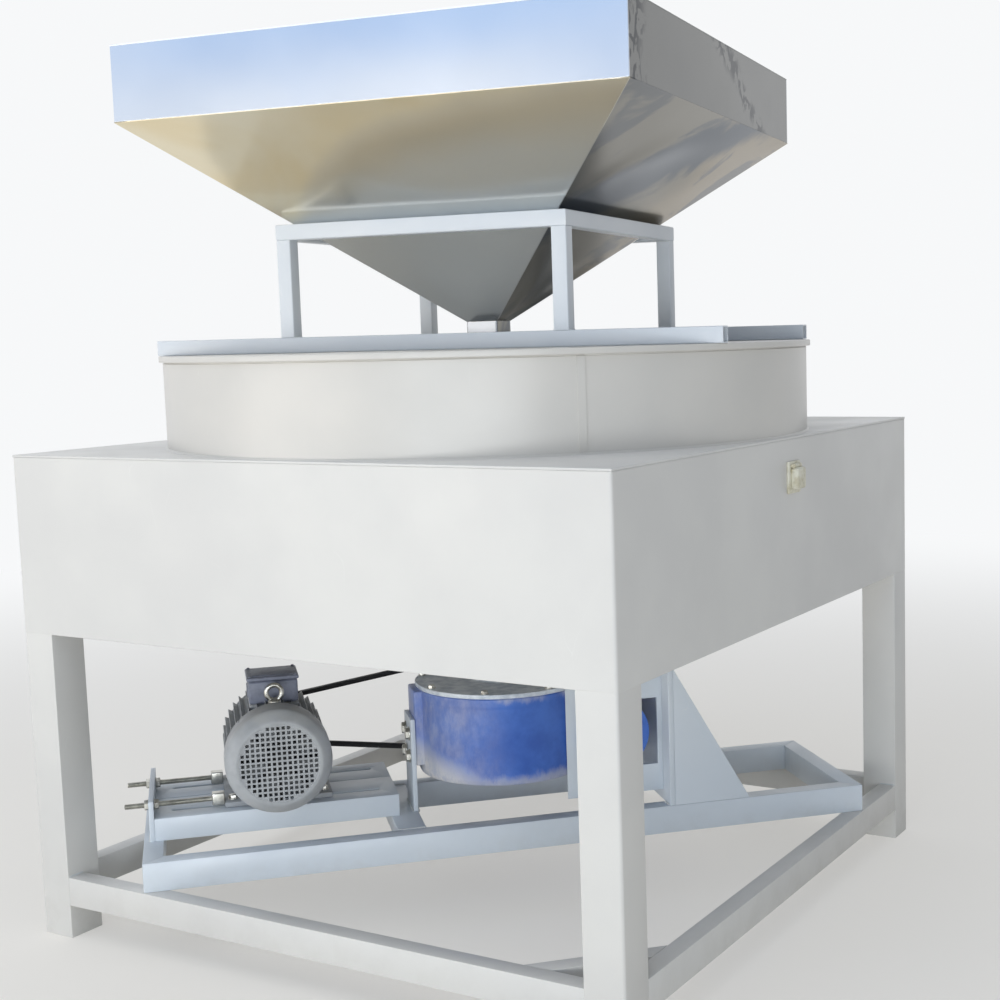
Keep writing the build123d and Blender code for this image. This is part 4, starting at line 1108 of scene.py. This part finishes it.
# Belt drive: grooved pulleys and one V-belt
large_low, large_high = box_of("gearbox_pulley")
worm_x = (large_low.x + large_high.x) / 2
worm_z = (large_low.z + large_high.z) / 2
pulley_y = (large_low.y + large_high.y) / 2
pulley_half = (large_high.y - large_low.y) / 2
small_radius = (small_high.z - small_low.z) / 2
large_radius = (large_high.z - large_low.z) / 2
groove_top, groove_foot, groove_deep = 0.0088, 0.0037, 0.014


def pulley(node, x, z, radius, bore, hub, web=0.0):
    """Pulley with one groove and, where a web is given, a thinner disc between hub and rim."""
    bm = bmesh.new()
    outline = [(bore, pulley_half), (hub, pulley_half)]
    if web:
        outline += [(hub + 0.004, web), (radius - 0.024, web)]
    outline += [(radius - 0.012, pulley_half), (radius, pulley_half), (radius, groove_top),
                (radius - groove_deep, groove_foot)]
    outline += [(r, -h) for r, h in reversed(outline)]
    hoop(bm, outline, 0.0012, 2, 144, along_y(x, pulley_y, z))
    dress(node, bm, IRON)


pulley("motor_pulley", axle_x, axle_z, small_radius, bore=0.0141, hub=0.026)
pulley("gearbox_pulley", worm_x, worm_z, large_radius, bore=0.0176, hub=0.042, web=0.006)

bm = bmesh.new()
reach = Vector((worm_x - axle_x, worm_z - axle_z))
tilt = atan2(reach.y, reach.x)
wrap = asin((large_radius - small_radius) / reach.length)
loop = []
for centre, radius, start, arc in ((reach, large_radius, -pi / 2 - wrap, pi + 2 * wrap),
                                   (Vector((0, 0)), small_radius, pi / 2 + wrap, pi - 2 * wrap)):
    for n in range(49):
        angle = tilt + start + arc * n / 48
        out = Vector((cos(angle), sin(angle)))
        loop.append((centre + out * radius, out))
runs = []
for (p, a), (q, b) in zip(loop, loop[1:] + loop[:1]):
    parts = max(1, ceil((q - p).length / 0.03))
    runs += [(p.lerp(q, n / parts), a.lerp(b, n / parts).normalized()) for n in range(parts)]
section = rounded([(0.0085, 0), (0.0046, -0.011), (-0.0046, -0.011), (-0.0085, 0)], 0.0011, 2, True)
rows = []
for p, out in runs:
    row = [(axle_x + p.x + out.x * d, pulley_y + s, axle_z + p.y + out.y * d) for s, d in section]
    rows.append([CHASSIS @ Vector(point) for point in row])
skin(bm, rows, around=True, closed=True)
belt = piece("drive_belt_dressed", bm, RUBBER, None, ["drive_belt"])
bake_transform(belt)

# Gearbox: round case with the worm housing across it, bare cover, bearing caps and bolts
case_low = box_of("gearbox_case")[0]
cover_low, cover_high = box_of("gearbox_cover")
caps_low, caps_high = box_of("bearing_caps")
case_radius = cover_high.x
foot, top, cover_top = case_low.z, cover_low.z, cover_high.z
worm_axis = along_y(worm_x, 0, worm_z)
cap_radius = (caps_high.z - caps_low.z) / 2
housing = caps_high.y - 0.018
pad_half, pad_inner, pad_bottom = 0.045, -0.12, 0.290
upright_bolts = [(y, z) for z in (0.310, 0.360) for y in (-0.028, 0.028)]
cover_bolts = 8
bm = bmesh.new()
case = [(CORE, foot), (case_radius - 0.006, foot), (case_radius - 0.001, foot + 0.012),
        (case_radius - 0.001, top - 0.022), (case_radius, top - 0.018), (case_radius, top), (CORE, top)]
knob(bm, case, 0.004, 4, 192, CHASSIS)
knob(bm, [(CORE, -housing), (0.066, -housing), (0.066, housing), (CORE, housing)], 0.002, 3, 96, worm_axis)
block(bm, (case_low.x, -pad_half, pad_bottom), (pad_inner, pad_half, top - 0.001), 0.004)
dress("gearbox_case", bm, BLUE)

bm = bmesh.new()
bore, boss, boss_top = 0.0352, 0.075, cover_top + 0.006
cover = [(bore, top), (case_radius, top), (case_radius, cover_top), (boss, cover_top),
         (boss - 0.005, boss_top), (bore, boss_top)]
hoop(bm, cover, 0.0024, 3, 192, CHASSIS, wobble=lambda a, h: 0.0006 * sin(9 * a) if h > top else 0)
dress("gearbox_cover", bm, COVER)

bm = bmesh.new()
for bore, way in ((CORE, -1), (0.0176, 1)):
    near, far = way * housing, way * caps_high.y
    hoop(bm, [(bore, near), (cap_radius, near), (cap_radius, far), (bore, far)], 0.003, 4, 120, worm_axis)
dress("bearing_caps", bm, BLUE)

bm = bmesh.new()
for y, z in upright_bolts:
    bolt(bm, 0.022, 0.007, along_x(upright_low.x, y, z) @ Matrix.Rotation(pi, 4, "X"))
for n in range(cover_bolts):
    turn = CHASSIS @ Matrix.Rotation((n + 0.5) * tau / cover_bolts, 4, "Z")
    bolt(bm, 0.013, 0.0055, at(case_radius - 0.011, 0, cover_top, turn))
dress("gearbox_bolts", bm, ZINC)

# Power inlet on the right apron: flat base with a hinged cover
inlet_low, inlet_high = box_of("power_inlet", SQUARE)
base = inlet_low.x + 0.006
mid_y, mid_z = (inlet_low.y + inlet_high.y) / 2, (inlet_low.z + inlet_high.z) / 2
hinge = 0.019
bm = bmesh.new()
block(bm, inlet_low, (base, inlet_high.y, inlet_high.z), 0.0024, 3, SQUARE)
flap = (base - 0.001, mid_y - 0.021, mid_z - 0.023)
block(bm, flap, (inlet_high.x, mid_y + 0.021, mid_z + 0.020), 0.0055, 4, SQUARE)
knob(bm, [(FINE_CORE, -hinge), (0.0042, -hinge), (0.0042, hinge), (FINE_CORE, hinge)], 0.001, 2, 24,
     along_y(base + 0.004, mid_y, mid_z + 0.0235, SQUARE))
for corner, inward in ((inlet_low, 0.007), (inlet_high, -0.007)):
    spot = along_x(base, corner.y + inward, corner.z + inward, SQUARE)
    screw(bm, 0.0034, 0.0030, 0.0014, 0.0018, 0.0006, 16, spot)
dress("power_inlet", bm, INLET)

# Nodes that keep their own shape and take a finish
KEPT = {"bed_stone": STONE, "runner_stone": STONE, "rynd": STEEL, "mill_spindle": STEEL,
        "neck_bearing": IRON, "flour_sweepers": ZINC, "flour_chute": TAPER_SHEET, "worm_shaft": STEEL,
        "worm_wheel": BRONZE, "motor_rotor": STEEL, "cooling_fan": FAN}
for node, finish in KEPT.items():
    for holder in frame["nodes"][node].material_slots:
        holder.material = finish

# Floor, light and camera
HAZE = (0.93, 0.94, 0.95, 1)


def room_light(f, direction):
    """Light of the room by direction: hazy white low down, blue higher up in front, dimmer on the right."""
    x, y, z = [f.part(direction, letter) for letter in "XYZ"]
    front = f.until(y, -0.7, -0.2)
    high = f.mix(front, (0.80, 0.85, 0.92, 1), (0.46, 0.64, 0.93, 1))
    rise = f.step(z, 0.06, 0.27) * front + f.step(z, 0.22, 0.85) * (1 - front)
    colour = f.mix(rise, HAZE, high)
    return f.mix(f.step(x, 0.1, 0.8) * 0.60, colour, (0.36, 0.385, 0.42, 1))


f = Finish("studio_floor")
spread = f.node("VectorMath", {"operation": "LENGTH"}, {0: f.place()}, out="Value")
outward = f.node("VectorMath", {"operation": "NORMALIZE"}, {0: f.place()})
ground = f.mix(f.noise(0.8, 3), tone(240, 235, 226), tone(244, 240, 232))
sockets = {"Base Color": ground, "Roughness": 0.75, "Specular IOR Level": 0.2}
near = f.node("BsdfPrincipled", {}, sockets)
pale = f.node("Emission", {}, {"Color": (0.95, 0.94, 0.92, 1), "Strength": 1.0})
near = f.node("MixShader", {}, {0: 0.40 * f.seen(), 1: near, 2: pale})
far = f.node("Emission", {}, {"Color": room_light(f, outward), "Strength": 1.0})
blend = f.node("MixShader", {}, {0: f.step(spread, 1.3, 6.0), 1: near, 2: far})
f.node("OutputMaterial", {}, {"Surface": blend})
bm = bmesh.new()
turned(bm, [(r, 0) for r in (CORE, 2, 6, 16, 60)])
floor = piece("studio_floor", bm, f.material, None)
floor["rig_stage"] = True

world = bpy.data.worlds.new("studio_room")
bpy.context.scene.world = world
f = Finish("studio_room", world)
room = room_light(f, f.node("TexCoord", out="Generated"))
light = f.node("Background", {}, {"Color": room, "Strength": 0.60})
backdrop = f.node("Background", {}, {"Color": room, "Strength": 1.0})
shown = f.node("MixShader", {}, {0: f.seen(), 1: light, 2: backdrop})
f.node("OutputWorld", {}, {"Surface": shown})


def lamp(name, place, target, width, height, power, colour):
    data = bpy.data.lights.new(name, "AREA")
    data.shape = "RECTANGLE"
    data.size, data.size_y = width, height
    data.energy = power
    data.color = colour
    made = bpy.data.objects.new(name, data)
    bpy.context.scene.collection.objects.link(made)
    made.location = place
    made.rotation_euler = (Vector(target) - Vector(place)).to_track_quat("-Z", "Y").to_euler()
    made.visible_camera = False


lamp("front_key", (-3.2, -6.2, 0.82), (0, -0.5, 0.8), 6.4, 1.5, 95, (1.0, 0.94, 0.86))
lamp("low_fill", (2.6, -5.8, 0.65), (0, 0, 0.4), 5.0, 1.2, 125, (0.92, 0.97, 1.0))
lamp("overhead", (-0.6, -1.8, 4.4), (0, 0, 1.2), 4.5, 4.5, 50, (1.0, 0.99, 0.97))

data = bpy.data.cameras.new("photo_view")
data.lens = 55.57
data.sensor_width = 36
data.shift_x, data.shift_y = -0.12, 0.015
data.clip_end = 100
camera = bpy.data.objects.new("photo_view", data)
bpy.context.scene.collection.objects.link(camera)
yaw, pitch, roll = 0.5165, -0.1160, -0.0261
ahead = Vector((-sin(yaw) * cos(pitch), cos(yaw) * cos(pitch), sin(pitch)))
right = ahead.cross(Vector((0, 0, 1))).normalized()
upward = right.cross(ahead)
across_axis = right * cos(roll) + upward * sin(roll)
up_axis = upward * cos(roll) - right * sin(roll)
place = Matrix((across_axis, up_axis, -ahead)).transposed().to_4x4()
place.translation = (1.9126, -2.8114, 1.2145)
camera.matrix_world = place
bpy.context.scene.camera = camera
bpy.context.scene.view_settings.view_transform = "Standard"

low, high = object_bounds()
